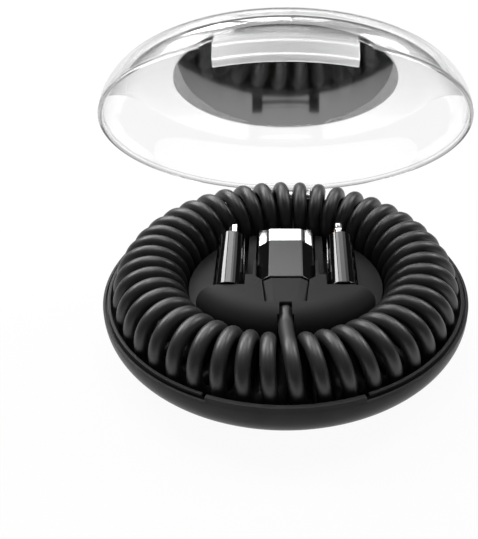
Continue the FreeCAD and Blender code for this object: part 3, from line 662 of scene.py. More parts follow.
@dataclass(frozen=True)
class Plated:
    """Plated or drawn metal with faint lengthwise streaks."""

    name: str
    colour: Colour
    roughness: float = 0.22
    gloss_spread: float = 0.12
    worn: float = 0.9
    streak_mm: float = 0.12
    streak_depth_mm: float = 0.002
    stretch: tuple[float, float, float] = (1.0, 0.06, 1.0)

    def make(self) -> bpy.types.Material:
        """Build the material.

        Returns:
            The material.
        """
        graph = Graph(self.name)
        streak = graph.noise(1 / (self.streak_mm * MM), 2, self.stretch)
        worn = tuple(c * self.worn for c in self.colour)
        graph.set(Base_Color=graph.mix(streak, worn, self.colour), Metallic=1.0,
                  Roughness=self.roughness - self.gloss_spread / 2 + streak * self.gloss_spread,
                  Normal=graph.bump(streak, self.streak_depth_mm * MM))
        return graph.material


class Finishes:
    """Every finish of the object, made once."""

    def __init__(self) -> None:
        """Make the finishes."""
        self.case = Moulded("satin_black_case", (0.056, 0.056, 0.057), 0.32, specular=0.07).make()
        self.holder = Moulded("matt_grey_holder", (0.034, 0.034, 0.035), 0.6, grain_mm=0.18,
                              grain_depth_mm=0.006, mottle=0.08, specular=0.2).make()
        self.gloss = Moulded("polished_black_plug", (0.002, 0.002, 0.0025), 0.08, grain_depth_mm=0.0005,
                             gloss_spread=0.03).make()
        # Plug whose top facet carries a painted highlight.
        self.plug = PlugHousing("two_tone_plug", 17.6).make()
        self.boot = Moulded("matt_rubber_boot", (0.045, 0.045, 0.046), 0.6, grain_mm=0.15,
                            grain_depth_mm=0.005, specular=0.2).make()
        self.jacket = Moulded("satin_cable_jacket", (0.027, 0.027, 0.0275), 0.44, grain_mm=0.3,
                              specular=0.85).make()
        self.disc = Moulded("mirror_black_disc", (0.004, 0.004, 0.004), 0.1, grain_depth_mm=0.0003,
                            gloss_spread=0.02, specular=1.0, coat=0.8).make()
        self.insulator = Moulded("black_insulator", (0.02, 0.02, 0.02), 0.5).make()
        self.board = Moulded("green_solder_mask", (0.02, 0.12, 0.05), 0.35).make()
        self.clear = ClearPlastic("clear_lid_plastic", ClearLid.FROST, ClearLid.PAINTED_RIM_SHADE).make()
        self.steel = Plated("nickel_plated_steel", (0.82, 0.82, 0.83)).make()
        self.pin = Plated("drawn_pin_steel", (0.55, 0.55, 0.56), 0.3).make()
        self.gold = Plated("gold_contacts", (0.62, 0.47, 0.21), 0.34).make()


# Sub-assemblies, sizes in millimetres

@dataclass
class Hinge:
    """The lid's hinge, read from the frame's joint."""

    ear_width: float = 2.5
    ear_radius: float = 1.45
    knuckle_length: float = 11.0
    knuckle_radius: float = 1.35
    side_gap: float = 0.25
    pin_radius: float = 0.7
    bore_radius: float = 0.75

    @property
    def joint(self) -> dict[str, Any]:
        """The hinge's entry in the record."""
        joints = frame["record"]["behaviour"]["joints"]
        return [joint for joint in joints if joint["type"] == "hinge"][0]

    @property
    def y(self) -> float:
        """Place of the axis along Y."""
        return self.joint["pos_m"][1] / MM

    @property
    def z(self) -> float:
        """Height of the axis."""
        return self.joint["pos_m"][2] / MM

    def opened(self) -> Matrix:
        """Turn from the closed lid to the lid as it stands.

        Returns:
            The turn about the hinge's axis.
        """
        centre = Vector(self.joint["pos_m"])
        axis = Vector(self.joint["axis"])
        angle = -math.radians(self.joint["range_deg"][0])
        return Matrix.Translation(centre) @ Matrix.Rotation(angle, 4, axis) @ Matrix.Translation(-centre)

    def along(self, name: str, radius: float, length: float, x: float = 0, sides: int = 48) -> Piece:
        """Round bar on the axis with its middle at x."""
        return bar(name, (x, self.y, self.z), radius, length, "X", sides)

    def dress(self, finishes: Finishes) -> None:
        """Model the pin with chamfered ends.

        Args:
            finishes: The object's finishes.
        """
        low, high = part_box("hinge_pin")
        pin = self.along("pin", self.pin_radius, (high[0] - low[0]) / MM)
        soften(pin, width=0.15)
        settle(pin, "hinge_pin", "base", finishes.pin)


@dataclass
class CaseBowl:
    """Black bowl with its stepped rim, keeper lip and hinge ears."""

    hinge: Hinge
    radius: float = 37.5
    rim: float = 9.4
    wall: float = 1.3
    floor: float = 2.4
    upright: float = 0.9
    side_arc: float = 7.7
    knee: float = 51.0
    lip: float = 0.5
    groove_width: float = 0.45
    groove_depth: float = 0.9
    collar_width: float = 0.6
    collar_height: float = 0.6
    keeper_wall: float = 0.95
    keeper_height: float = 1.1
    keeper_sweep: float = 45.5
    room_sweep: float = 49.0
    room_floor: float = 6.1
    room_taper: float = 1.65
    room_lean: float = 0.45
    room_reach: float = 0.8
    room_over: float = 2.0
    web_root: float = 0.3
    web_drop: float = 0.15
    steps: int = 360

    @property
    def collar_out(self) -> float:
        """Outer radius of the collar."""
        return self.radius - self.lip - self.groove_width

    @property
    def collar_in(self) -> float:
        """Inner radius of the collar."""
        return self.collar_out - self.collar_width

    def outline(self) -> list[Point]:
        """Section of the bowl.

        Returns:
            Its outline as (radius, height).
        """
        knee = math.radians(self.knee)
        side = (self.radius - self.side_arc, self.rim - self.upright)
        knee_height = side[1] - self.side_arc * math.sin(knee)
        low_arc = knee_height / (1 - math.sin(knee))
        low = (side[0] + (self.side_arc - low_arc) * math.cos(knee), low_arc)
        inner_arc = self.side_arc - self.wall
        top = -math.degrees(math.acos((self.collar_in - side[0]) / inner_arc))
        foot = -math.degrees(math.asin((low_arc - self.floor) / (low_arc - self.wall)))
        return [
            (0, 0), *arc(low, low_arc, -90, -self.knee, 12), *arc(side, self.side_arc, -self.knee, 0, 20)[1:],
            (self.radius, self.rim), (self.radius - self.lip, self.rim),
            (self.radius - self.lip, self.rim - self.groove_depth),
            (self.collar_out, self.rim - self.groove_depth), (self.collar_out, self.rim + self.collar_height),
            (self.collar_in, self.rim + self.collar_height),
            *arc(side, inner_arc, top, -self.knee, 12),
            *arc(low, low_arc - self.wall, -self.knee, foot, 12)[1:], (0, self.floor),
        ]

    def keeper(self, bowl: Piece) -> None:
        """Cut the latch tab's pocket and add the keeper lip in front of it.

        Args:
            bowl: The bowl.
        """
        inner, outer = self.radius - self.keeper_wall + HAIR, self.radius - HAIR
        deep, over = self.collar_in - self.room_reach, self.rim + self.room_over
        room = [(deep, self.room_floor), (inner - self.room_lean, self.room_floor),
                (inner, self.room_floor + self.room_taper), (inner, over), (deep, over)]
        combine(bowl, spun("room", room, 49, self.room_sweep, FRONT), Join.CUT)
        low, high = self.rim - self.groove_depth - HAIR, self.rim + self.keeper_height
        lip = [(inner, low), (outer, low), (outer, high), (inner, high)]
        combine(bowl, spun("keeper", lip, 47, self.keeper_sweep, FRONT), Join.ADD)

    def ears(self, bowl: Piece) -> None:
        """Add both hinge ears with the holes for the pin.

        Args:
            bowl: The bowl.
        """
        hinge = self.hinge
        half = hinge.ear_width / 2
        reach = hinge.knuckle_length / 2 + hinge.side_gap + half
        for x in (-reach, reach):
            web = block("web", (x - half, self.collar_in + self.web_root, hinge.z - hinge.ear_radius + HAIR),
                        (x + half, hinge.y, self.rim - self.web_drop))
            combine(web, hinge.along("ear", hinge.ear_radius, hinge.ear_width - HAIR, x, 64), Join.ADD)
            combine(bowl, web, Join.ADD)
            combine(bowl, hinge.along("hole", hinge.pin_radius + HAIR, hinge.ear_width * 2, x), Join.CUT)

    def build(self, finishes: Finishes) -> None:
        """Model the bowl.

        Args:
            finishes: The object's finishes.
        """
        bowl = spun("bowl", self.outline(), self.steps)
        self.keeper(bowl)
        self.ears(bowl)
        soften(bowl, width=0.08, flat=False)
        settle(bowl, "base_shell", "base", finishes.case)


@dataclass
class ClearLid:
    """Clear dome with rebate, notch, latch tab and knuckle, and the disc let into its top."""

    FROST: ClassVar[str] = "frost"
    # Attribute that marks the rim for painted shade.
    PAINTED_RIM_SHADE: ClassVar[str] = "rim"
    DOWNWARD: ClassVar[float] = -0.9

    hinge: Hinge
    radius: float = 37.5
    edge: float = 9.55
    rim_round: float = 0.3
    height: float = 12.3
    wall: float = 1.2
    shoulder: float = 10.0
    rebate: float = 36.7
    rebate_height: float = 0.9
    notch_top: float = 10.65
    notch_sweep: float = 47.0
    tab_sweep: float = 40.5
    tab_out: float = 36.4
    tab_in: float = 35.6
    tab_low: float = 6.25
    tab_lean: float = 0.45
    tab_taper: float = 1.65
    slack: float = 0.1
    web_root: float = 0.15
    web_height: float = 1.8
    disc_radius: float = 23.0
    disc_thickness: float = 0.6
    disc_steps: int = 20
    glue: float = 0.05
    steps: int = 360

    @property
    def top_arc(self) -> float:
        """Radius of the shallow top."""
        across = self.radius - self.shoulder
        return (across ** 2 + self.height ** 2 - self.shoulder ** 2) / (2 * (self.height - self.shoulder))

    @property
    def top_centre(self) -> float:
        """Height of the shallow top's centre."""
        return self.edge + self.height - self.top_arc

    def outline(self) -> list[Point]:
        """Section of the closed dome.

        Returns:
            Its outline as (radius, height).
        """
        shoulder = (self.radius - self.shoulder, self.edge)
        top = (0.0, self.top_centre)
        meet = math.degrees(math.atan2(self.edge - self.top_centre, shoulder[0]))
        inner = self.shoulder - self.wall
        sunk = self.top_arc - self.disc_thickness - self.glue
        outer, lower = (math.degrees(math.acos((self.disc_radius + self.glue) / r))
                        for r in (self.top_arc, sunk))
        start = math.degrees(math.asin(self.rebate_height / inner))
        bead, height = self.rim_round, self.edge + self.rim_round
        first = math.degrees(math.asin(bead / self.shoulder))
        return [
            *arc((self.radius - bead, height), bead, -90, 0, 4)[:-1],
            *arc(shoulder, self.shoulder, first, meet, 28), *arc(top, self.top_arc, meet, outer, 6)[1:],
            *arc(top, sunk, lower, 90, 10), *arc(top, self.top_arc - self.wall, 90, meet, 12),
            *arc(shoulder, inner, meet, start, 28)[1:], (self.rebate, self.edge + self.rebate_height),
            *arc((self.rebate + bead, height), bead, -180, -90, 4),
        ]

    def mark(self, dome: Piece) -> None:
        """Mark the closed dome's latch tab for frost and its rim for painted shade in its finish.

        Args:
            dome: The dome.
        """
        frost, rim = (dome.data.attributes.new(name, "FLOAT", "POINT") for name in (self.FROST, self.PAINTED_RIM_SHADE))
        below, within = self.notch_top - self.slack, self.tab_out + self.slack
        for i, corner in enumerate(dome.data.vertices):
            place = corner.co / MM
            tab = place.y < 0 and place.z < below and place.xy.length < within
            frost.data[i].value = float(tab)
            # The rim is marked for painted shade.
            rim.data[i].value = float(not tab and place.z < self.edge + 2 * self.rim_round)

    def level(self, disc: Piece) -> None:
        """Shade the closed disc's underside as one level face.

        Args:
            disc: The disc.
        """
        mesh = disc.data
        normals = [corner.vector.copy() for corner in mesh.corner_normals]
        for face in mesh.polygons:
            if face.normal.z < self.DOWNWARD:
                for corner in face.loop_indices:
                    normals[corner] = Vector((0, 0, -1))
        mesh.normals_split_custom_set(normals)

    def tab(self) -> list[Point]:
        """Section of the latch tab: leaning foot, root in the dome and two shallow ribs inside.

        Returns:
            Its outline as (radius, height).
        """
        low, high, inner, outer = self.tab_low, self.notch_top, self.tab_in, self.tab_out
        foot = [(inner, low), (outer - self.tab_lean, low), (outer, low + self.tab_taper)]
        root = [(outer, high - HAIR), (outer + 0.6, high + HAIR), (outer + 0.5, high + 1.2),
                (inner, high + 2.4)]
        ribs = [(inner, high - 0.3), (inner + 0.25, high - 0.6), (inner + 0.05, low + 1.6),
                (inner + 0.3, low + 1.3), (inner + 0.2, low + 0.5)]
        return foot + root + ribs

    def latch(self, dome: Piece) -> None:
        """Cut the notch out of the closed dome's front and add the tab in it.

        Args:
            dome: The dome.
        """
        inner, outer, low = self.tab_in - OVERSHOOT, self.radius + OVERSHOOT, self.edge - OVERSHOOT
        notch = [(inner, low), (outer, low), (outer, self.notch_top), (inner, self.notch_top)]
        cutter = spun("notch", notch, 49, self.notch_sweep, FRONT)
        soften(cutter, width=0.5, segments=4, flat=False)
        combine(dome, cutter, Join.CUT)
        tab = spun("tab", self.tab(), 45, self.tab_sweep, FRONT)
        soften(tab, width=0.12, segments=3, flat=False)
        combine(dome, tab, Join.ADD)

    def knuckle(self) -> Piece:
        """Closed hinge knuckle with its bore and the web that carries it.

        Returns:
            The knuckle, to be welded on.
        """
        hinge, length = self.hinge, self.hinge.knuckle_length
        root, low, high = self.rebate + self.web_root, self.edge + HAIR, self.edge + self.web_height
        profile = [(root, low), (hinge.y, low), (hinge.y, hinge.z + hinge.knuckle_radius),
                   (self.radius, high), (root, high)]
        web = from_points("web", [(-length / 2, y, z) for y, z in profile], closed=True, filled=True)
        with editing(web):
            bpy.ops.mesh.extrude_region_move(TRANSFORM_OT_translate={"value": (length * MM, 0, 0)})
            bpy.ops.mesh.select_all(action="SELECT")
            bpy.ops.mesh.normals_make_consistent(inside=False)
        combine(web, hinge.along("knuckle", hinge.knuckle_radius, length - HAIR, sides=64), Join.ADD)
        combine(web, hinge.along("bore", hinge.bore_radius, length * 2), Join.CUT)
        return web

    def disc(self) -> Piece:
        """Closed disc that follows the dome's top.

        Returns:
            The disc.
        """
        upper, lower = self.top_arc, self.top_arc - self.disc_thickness
        first, last = (math.degrees(math.acos(self.disc_radius / r)) for r in (lower, upper))
        top, steps = (0.0, self.top_centre), self.disc_steps
        outline = arc(top, lower, 90, first, steps) + arc(top, upper, last, 90, steps)
        disc = spun("disc", outline, self.steps // 2)
        soften(disc, width=0)
        self.level(disc)
        return disc

    def build(self, finishes: Finishes) -> None:
        """Model dome and disc closed and turn them open.

        Args:
            finishes: The object's finishes.
        """
        dome = spun("dome", self.outline(), self.steps)
        self.latch(dome)
        combine(dome, self.knuckle(), Join.ADD)
        soften(dome, width=0)
        self.mark(dome)
        disc = self.disc()
        for piece in (dome, disc):
            piece.data.transform(self.hinge.opened())
            piece.visible_glossy = False
        dome.visible_shadow = False
        settle(dome, "lid_dome", "lid", finishes.clear)
        settle(disc, "lid_disc", "lid", finishes.disc)


@dataclass
class SmallPlug:
    """Plug with the small oval tip, in the middle of the holder."""

    front: float = -7.2
    axis: float = 14.9
    width: float = 11.6
    height: float = 5.6
    length: float = 13.25
    facet: float = 6.6
    side: float = 2.2
    corner: float = 1.0
    tip_width: float = 8.25
    tip_height: float = 2.4
    tip_round: float = 1.15
    tip_length: float = 6.65
    tip_root: float = 1.5
    metal: float = 0.25
    boot_width: float = 9.2
    boot_height: float = 5.1
    boot_facet: float = 5.8
    boot_side: float = 3.4
    boot_end_width: float = 7.8
    boot_end_height: float = 4.2
    boot_length: float = 7.4
    boot_drop: float = 0.1

    def build(self, finishes: Finishes) -> None:
        """Model housing, boot and shell and dress what is inside.

        Args:
            finishes: The object's finishes.
        """
        back = self.front + self.length
        centre = (0.0, self.axis)
        section = octagon(centre, self.width, self.height, self.facet, self.side)
        slope = (self.height - self.side) / (self.width - self.facet)
        front = octagon(centre, self.width - 2 * self.corner, self.height, self.facet,
                        self.side + 2 * self.corner * slope)
        housing = lofted("housing", [
            (self.front, front), (self.front + self.corner, section), (back, section)])
        seat = rounded(centre, self.tip_width, self.tip_height, self.tip_round)
        combine(housing, prism("seat", seat, back - self.tip_root, back + OVERSHOOT), Join.CUT)
        soften(housing, width=0.3, segments=3, angle=20)
        settle(housing, "usb_c_housing", "base", finishes.plug)
        near = octagon(centre, self.boot_width, self.boot_height, self.boot_facet, self.boot_side)
        low = (0.0, self.axis - self.boot_drop)
        far = octagon(low, self.boot_end_width, self.boot_end_height,
                      self.boot_facet * self.boot_end_width / self.boot_width,
                      self.boot_side * self.boot_end_height / self.boot_height)
        boot = lofted("boot", [(self.front - self.boot_length, far), (self.front, near)])
        soften(boot, width=0.35, segments=3, angle=15)
        settle(boot, "usb_c_boot", "base", finishes.boot)
        inside = rounded(centre, self.tip_width - 2 * self.metal, self.tip_height - 2 * self.metal,
                         self.tip_round - self.metal)
        shell = tube("shell", seat, inside, back - self.tip_root, back + self.tip_length)
        soften(shell, width=0.06)
        settle(shell, "usb_c_shell", "base", finishes.steel)
        dress("usb_c_insulator", finishes.insulator)
        dress("usb_c_contacts", finishes.gold)
        dress("usb_c_board", finishes.board)


@dataclass
class LargePlug:
    """Plug with the large flat tip, under the small one."""

    front: float = -5.3
    axis: float = 9.55
    width: float = 12.5
    height: float = 5.0
    length: float = 12.3
    corner: float = 0.8
    tip_width: float = 12.0
    tip_height: float = 4.5
    tip_round: float = 0.5
    tip_length: float = 12.0
    tip_root: float = 1.5
    metal: float = 0.25
    window: float = 2.3
    window_offset: float = 3.1
    window_back: float = 5.2
    window_low: float = 1.0
    window_high: float = 3.0
    boot_radius: float = 2.4
    boot_end: float = 2.0
    boot_length: float = 3.7

    def build(self, finishes: Finishes) -> None:
        """Model housing, boot and shell and dress what is inside.

        Args:
            finishes: The object's finishes.
        """
        back = self.front + self.length
        end = back + self.tip_length
        centre = (0.0, self.axis)
        section = rounded(centre, self.width, self.height, self.corner)
        housing = prism("housing", section, self.front, back)
        seat = rounded(centre, self.tip_width, self.tip_height, self.tip_round, steps=5)
        combine(housing, prism("seat", seat, back - self.tip_root, back + OVERSHOOT), Join.CUT)
        soften(housing, width=0.2)
        settle(housing, "usb_a_housing", "base", finishes.gloss)
        inside = rounded(centre, self.tip_width - 2 * self.metal, self.tip_height - 2 * self.metal,
                         self.tip_round - self.metal, steps=5)
        shell = tube("shell", seat, inside, back - self.tip_root, end)
        half = self.window / 2
        y, low, high = end - self.window_back, self.axis + self.window_low, self.axis + self.window_high
        for x in (-self.window_offset, self.window_offset):
            combine(shell, block("window", (x - half, y - half, low), (x + half, y + half, high)), Join.CUT)
        soften(shell, width=0.06)
        settle(shell, "usb_a_shell", "base", finishes.steel)
        far, near = (rounded(centre, 2 * r, 2 * r, r - HAIR / 2, steps=10)
                     for r in (self.boot_end, self.boot_radius))
        boot = lofted("boot", [(self.front - self.boot_length, far), (self.front, near)])
        soften(boot, width=0.2)
        settle(boot, "usb_a_boot", "base", finishes.boot)
        dress("usb_a_tongue", finishes.insulator)
        dress("usb_a_contacts", finishes.gold)


class Tip(Enum):
    """Kind of an adapter's tip, by the first word of its nodes."""

    MICRO = "micro"
    BLADE = "blade"


@dataclass
class Adapter:
    """Slip-on adapter that stands on edge in its slot."""

    tip: Tip
    x: float
    axis: float = 12.1
    front: float = -8.988
    length: float = 18.6
    width: float = 6.4
    height: float = 11.0
    corner: float = 2.9
    slimmer: float = 0.8
    socket_width: float = 8.94
    socket_height: float = 3.16
    socket_round: float = 1.5
    socket_depth: float = 6.8
    tip_root: float = 1.5
    micro_width: float = 6.85
    micro_height: float = 1.8
    micro_chamfer: float = 0.8
    micro_length: float = 5.8
    blade_width: float = 6.7
    blade_height: float = 1.5
    blade_round: float = 0.45
    blade_length: float = 6.4
    notch: float = 0.3
    notch_back: float = 1.9
    metal: float = 0.25

    @property
    def back(self) -> float:
        """Place of the housing's end where the tip comes out."""
        return self.front + self.length

    def tip_outline(self, grow: float = 0.0) -> list[Point]:
        """Section of the tip, grown all round.

        Args:
            grow: Millimetres by which it grows.

        Returns:
            Its outline as (x, z).
        """
        centre = (self.x, self.axis)
        if self.tip is Tip.BLADE:
            return rounded(centre, self.blade_height + 2 * grow, self.blade_width + 2 * grow,
                           self.blade_round + grow)
        thick = self.micro_height / 2 + grow
        tall = self.micro_width / 2 + grow
        cut = self.micro_chamfer + grow / 2
        corners = ((-thick, cut - tall), (cut - thick, -tall), (thick, -tall),
                   (thick, tall), (cut - thick, tall), (-thick, tall - cut))
        return [(self.x + dx, self.axis + dz) for dx, dz in corners]

    def build(self, finishes: Finishes) -> None:
        """Model housing and tip and dress what is inside.

        Args:
            finishes: The object's finishes.
        """
        centre = (self.x, self.axis)
        front = rounded(centre, self.width, self.height, self.corner, steps=12)
        nose = rounded(centre, self.width - self.slimmer, self.height, self.corner - self.slimmer / 2,
                       steps=12)
        housing = lofted("housing", [(self.front, front), (self.back, nose)])
        socket = rounded(centre, self.socket_height, self.socket_width, self.socket_round)
        mouth, deep = self.front - OVERSHOOT, self.front + self.socket_depth
        combine(housing, prism("socket", socket, mouth, deep), Join.CUT)
        seat, root = self.tip_outline(), self.back - self.tip_root
        combine(housing, prism("seat", seat, root, self.back + OVERSHOOT), Join.CUT)
        soften(housing, width=0.3, segments=3)
        name = self.tip.value
        settle(housing, name + "_housing", "base", finishes.gloss)
        if self.tip is Tip.BLADE:
            end = self.back + self.blade_length
            piece = prism("tip", seat, root, end)
            for way in (-1, 1):
                edge = (self.x, end - self.notch_back, self.axis + way * (self.blade_width / 2 + self.notch))
                combine(piece, bar("notch", edge, 2 * self.notch, 2 * self.blade_height, "X"), Join.CUT)
        else:
            piece = tube("tip", seat, self.tip_outline(-self.metal), root, self.back + self.micro_length)
            dress("micro_tongue", finishes.insulator)
        soften(piece, width=0.08)
        settle(piece, name + "_tip", "base", finishes.steel)
        dress(name + "_contacts", finishes.gold)
        dress(name + "_socket_shell", finishes.steel)
        dress(name + "_socket_tongue", finishes.insulator)


@dataclass
class PlugHolder:
    """Round moulding in the middle of the ring, with wells for the plugs and adapters."""

    small: SmallPlug
    large: LargePlug
    adapters: Sequence[Adapter]
    radius: float = 20.0
    floor: float = 2.4
    top: float = 17.1
    edge: float = 4.5
    low: float = 10.45
    recess_front: float = -5.6
    seat: float = 0.1
    side: float = 0.15
    cable: float = 3.0
    throat: float = 2.45
    clip: float = 0.6
    clip_root: float = 1.0
    clip_length: float = 6.0
    clip_height: float = 4.8
    bed_rise: float = 0.05
    over: float = 3.0
    steps: int = 240

    def trough(self, name: str, low: float, halves: Sequence[Point]) -> Piece:
        """Cutter that is open above.

        Args:
            name: Its name.
            low: Height of its floor.
            halves: Place along Y and half its width there.

        Returns:
            The cutter.
        """
        above = self.top + self.over
        return lofted(name, [(y, [(-x, low), (x, low), (x, above), (-x, above)]) for y, x in halves])

    def cuts(self) -> Iterator[Piece]:
        """Make each tool that is cut out of the moulding, one at a time.

        Yields:
            The next tool.
        """
        above, beyond = self.top + self.over, self.radius + self.over
        small, large = self.small, self.large
        for adapter in self.adapters:
            half = adapter.width / 2 + self.side
            front = adapter.front - self.seat
            floor = adapter.axis - adapter.height / 2 - self.seat
            ends = sorted((adapter.x, math.copysign(beyond, adapter.x)))
            yield block("wing", (ends[0], front, self.low), (ends[1], beyond, above))
            yield block("slot", (adapter.x - half, front, floor), (adapter.x + half, beyond, above))
        reach = max(adapter.x for adapter in self.adapters)
        yield block("recess", (-reach, self.recess_front, self.low), (reach, beyond, above))
        half = large.width / 2 + self.side
        yield block("well", (-half, large.front - self.seat, large.axis - large.height / 2 - self.seat),
                    (half, beyond, above))
        bay, front = small.width / 2 + self.side, small.front - self.seat
        low = small.axis - small.height / 2 - self.seat
        yield self.trough("bay", low, (
            (front, bay - small.corner), (front + small.corner, bay), (large.front, bay)))
        low = small.axis - small.boot_height / 2 - self.seat
        yield self.trough("groove", low, (
            (small.front - small.boot_length - self.seat, small.boot_end_width / 2 + self.side),
            (small.front, small.boot_width / 2 + self.side)))
        bed = large.boot_radius + self.side
        low = large.axis - bed + self.bed_rise
        yield block("bed", (-bed, large.front - large.boot_length - self.seat, low),
                    (bed, large.front, above))
        gate = self.cable / 2 + self.seat
        yield block("throat", (-self.throat / 2, -beyond, large.axis - gate),
                    (self.throat / 2, large.front, above))
        yield block("gate", (-gate, -beyond, large.axis - gate),
                    (gate, large.front, small.axis - small.boot_drop + gate))

    def build(self, finishes: Finishes) -> None:
        """Model the puck, cut its wells and add the clips.

        Args:
            finishes: The object's finishes.
        """
        outline = [(0, self.floor), (self.radius, self.floor),
                   *arc((self.radius - self.edge, self.top - self.edge), self.edge, 0, 90, 16), (0, self.top)]
        puck = spun("puck", outline, self.steps)
        for tool in self.cuts():
            combine(puck, tool, Join.CUT)
        soften(puck, width=0.25, segments=3, angle=50)
        bay = self.small.width / 2 + self.side
        start = self.recess_front - self.clip_root
        for way in (-1, 1):
            xs = sorted((way * bay, way * (bay + self.clip)))
            clip = block("clip", (xs[0], start, self.top - self.clip_height),
                         (xs[1], start + self.clip_length, self.top - HAIR / 2))
            soften(clip, width=0.08)
            combine(puck, clip, Join.ADD)
        soften(puck, width=0)
        settle(puck, "plug_holder", "base", finishes.holder)


@dataclass
class CoiledCable:
    """The cable: from the small plug over the top of the ring, round in tight turns, to the large plug."""

    small: SmallPlug
    large: LargePlug
    diameter: float = 3.0
    ring: float = 27.85
    winding: float = 6.1
    height: float = 10.3
    turns: int = 44
    points_per_turn: int = 16
    first_crossing: float = 1.5
    last_turn: float = 0.62
    length_m: float = 1.72

    def on_ring(self, way: float, turn: float) -> tuple[float, float, float]:
        """Point of the winding.

        Args:
            way: Degrees round the ring from the front towards +X.
            turn: Radians round the winding, 0 at the outside and a quarter turn on top.

        Returns:
            The control point in millimetres, a little outside so that the curve is as wide as the cable's.
        """
        wide = self.winding / (0.75 + 0.25 * math.cos(TURN / self.points_per_turn))
        r = self.ring + wide * math.cos(turn)
        a = math.radians(way)
        return (r * math.sin(a), -r * math.cos(a), self.height + wide * math.sin(turn))

    def route(self) -> list[tuple[float, float, float]]:
        """Control points from the small plug to the large one, in millimetres.

        Returns:
            The points.
        """
        start = self.small.front - self.small.boot_length
        upper = self.small.axis - self.small.boot_drop
        points = [(0.0, start, upper), (0.0, start - 2, upper - 0.1), (0.0, start - 4.5, upper - 0.05),
                  (0.1, start - 7, upper + 0.5)]
        pitch = 360 / self.turns
        step = TURN / self.points_per_turn
        first = TURN / 4 + step
        last = first - TURN * (self.turns - 1) - TURN * self.last_turn
        count = round((first - last) / step)
        for i in range(count + 1):
            turn = first - i * step
            points.append(self.on_ring(self.first_crossing + (TURN / 4 - turn) / TURN * pitch, turn))
        end = self.large.front - self.large.boot_length
        low = self.large.axis
        points += [(-0.5, end - 13.9, low - 2.6), (-0.1, end - 11.8, low - 0.3), (0.0, end - 9, low),
                   (0.0, end - 4, low), (0.0, end, low)]
        return points

    def build(self, finishes: Finishes) -> None:
        """Args:
            finishes: The object's finishes.
        """
        points = self.route()
        curve = bpy.data.curves.new("cable", "CURVE")
        curve.dimensions = "3D"
        curve.bevel_depth = self.diameter / 2 * MM
        curve.bevel_resolution = 6
        curve.resolution_u = 3
        curve.use_fill_caps = True
        spline = curve.splines.new("NURBS")
        spline.points.add(len(points) - 1)
        for point, place in zip(spline.points, points):
            point.co = (*(Vector(place) * MM), 1)
        spline.order_u = 3
        spline.use_endpoint_u = True
        cable = bpy.data.objects.new("cable", curve)
        bpy.context.scene.collection.objects.link(cable)
        curve.materials.append(finishes.jacket)
        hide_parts("cable_coil", "cable_lead_upper", "cable_lead_lower")
        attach(cable, "base")
        plugs = [bpy.data.objects[name] for name in (
            "usb_c_housing_skin", "usb_c_boot_skin", "usb_c_shell_skin",
            "usb_a_housing_skin", "usb_a_boot_skin", "usb_a_shell_skin")]
        plugs += [frame["nodes"][name] for name in (
            "usb_c_insulator", "usb_c_contacts", "usb_c_board", "usb_a_tongue", "usb_a_contacts")]
        [c * MM for c in points[0]]
        LOG.info("cable: %d control points", len(points))


@dataclass(frozen=True)
class SoftBox:
    """Soft lamp that faces the object; place and size in millimetres, power in watts."""

    AIM: ClassVar[tuple[float, float, float]] = (0.0, 0.0, 10.0)

    name: str
    place: tuple[float, float, float]
    size: Point
    power: float

    def hang(self) -> None:
        """Add the lamp to the scene."""
        data = bpy.data.lights.new(self.name, "AREA")
        data.shape = "RECTANGLE"
        data.size, data.size_y = self.size[0] * MM, self.size[1] * MM
        data.energy = self.power
        lamp = bpy.data.objects.new(self.name, data)
        bpy.context.scene.collection.objects.link(lamp)
        lamp.location = Vector(self.place) * MM
        toward = Vector(self.AIM) - Vector(self.place)
        lamp.rotation_euler = toward.to_track_quat("-Z", "Y").to_euler()


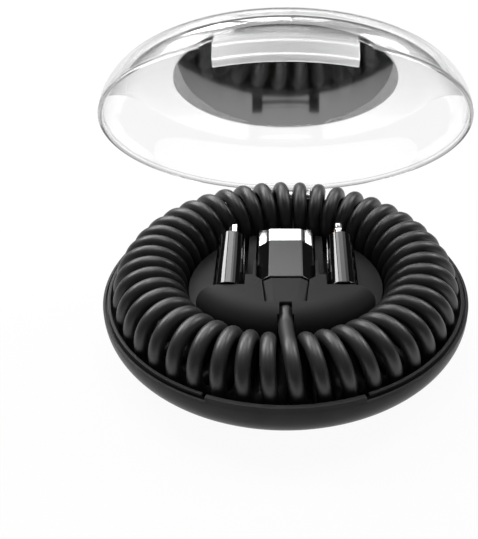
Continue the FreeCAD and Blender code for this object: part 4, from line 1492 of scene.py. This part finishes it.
@dataclass
class Studio:
    """White table, soft light and the photograph's view."""

    LAMPS: ClassVar[Sequence[SoftBox]] = (
        SoftBox("top", (0, 120, 420), (220, 220), 0.62),
        SoftBox("back", (-30, 330, 245), (80, 150), 0.16),
        SoftBox("back_left", (-135, 330, 245), (90, 150), 0.4),
        SoftBox("back_middle", (40, 330, 245), (60, 150), 0.06),
        SoftBox("back_side", (110, 330, 245), (80, 150), 0.03),
        SoftBox("right", (270, 220, 290), (160, 160), 0.65),
        SoftBox("left", (-270, 220, 290), (160, 160), 0.95),
        SoftBox("front", (0, -260, 380), (400, 40), 0.04),
    )

    tilt: float = 34.70
    distance: float = 205.0
    aim: tuple[float, float, float] = (0.0, 2.29, 12.71)
    focal_px: float = 987.4
    centre_px: float = 285.7
    sensor: float = 36.0
    room: float = 0.04
    table_m: float = 6.0
    table_white: float = 0.95
    table_rough: float = 0.9

    def camera(self) -> None:
        """Set the camera of the photograph."""
        tilt = math.radians(self.tilt)
        data = bpy.data.cameras.new("view")
        data.sensor_width = self.sensor
        data.sensor_fit = "AUTO"
        data.lens = self.focal_px * self.sensor / PHOTO_HEIGHT
        data.shift_x = -(self.centre_px - PHOTO_WIDTH / 2) / PHOTO_HEIGHT
        data.clip_start = 0.01
        camera = bpy.data.objects.new("view", data)
        bpy.context.scene.collection.objects.link(camera)
        back = Vector((0, -math.cos(tilt), math.sin(tilt)))
        camera.location = (Vector(self.aim) + back * self.distance) * MM
        camera.rotation_euler = (math.pi / 2 - tilt, 0, 0)
        bpy.context.scene.camera = camera

    def world(self) -> None:
        """Dim grey room round the table, white where the camera sees it."""
        world = bpy.data.worlds.new("studio")
        bpy.context.scene.world = world
        world.use_nodes = True
        graph = Graph.of(world.node_tree)
        seen = graph.node("ShaderNodeLightPath", {}, {}, "Is Camera Ray")
        background = world.node_tree.nodes["Background"]
        background.inputs["Color"].default_value = (1, 1, 1, 1)
        graph.feed(background.inputs["Strength"], self.room + seen * (1 - self.room))

    def floor(self) -> None:
        """Wide white table under the case."""
        deselect()
        bpy.ops.mesh.primitive_plane_add(size=self.table_m, location=(0, 0, 0))
        table = bpy.context.object
        table.name = "table"
        graph = Graph("white_table")
        white = self.table_white
        graph.set(Base_Color=(white, white, white, 1), Roughness=self.table_rough, Specular_IOR_Level=0.0)
        table.data.materials.append(graph.material)
        camera, glossy, clear = (graph.node("ShaderNodeLightPath", {}, {}, f"Is {kind} Ray")
                                 for kind in ("Camera", "Glossy", "Transmission"))
        seen = graph.node("ShaderNodeMath", {"operation": "MAXIMUM"}, {0: camera * white, 1: glossy})
        seen = graph.node("ShaderNodeMath", {"operation": "MAXIMUM"}, {0: seen, 1: clear})
        glow = graph.node("ShaderNodeEmission", {}, {"Color": (1, 1, 1, 1), "Strength": 1.0})
        graph.close(graph.blend(seen, graph.plain, glow))

    def build(self) -> None:
        """Set up the whole studio."""
        bpy.context.scene.view_settings.view_transform = "Standard"
        self.camera()
        self.world()
        self.floor()
        for lamp in self.LAMPS:
            lamp.hang()


def main() -> None:
    """Build every sub-assembly."""
    logging.basicConfig(level=logging.INFO, format="%(message)s")
    finishes = Finishes()
    hinge = Hinge()
    small, large = SmallPlug(), LargePlug()
    adapters = [Adapter(Tip.MICRO, -11.4), Adapter(Tip.BLADE, 11.4)]
    hinge.dress(finishes)
    CaseBowl(hinge).build(finishes)
    ClearLid(hinge).build(finishes)
    small.build(finishes)
    large.build(finishes)
    for adapter in adapters:
        adapter.build(finishes)
    PlugHolder(small, large, adapters).build(finishes)
    CoiledCable(small, large).build(finishes)
    Studio().build()


if __name__ == "__main__":
    main()
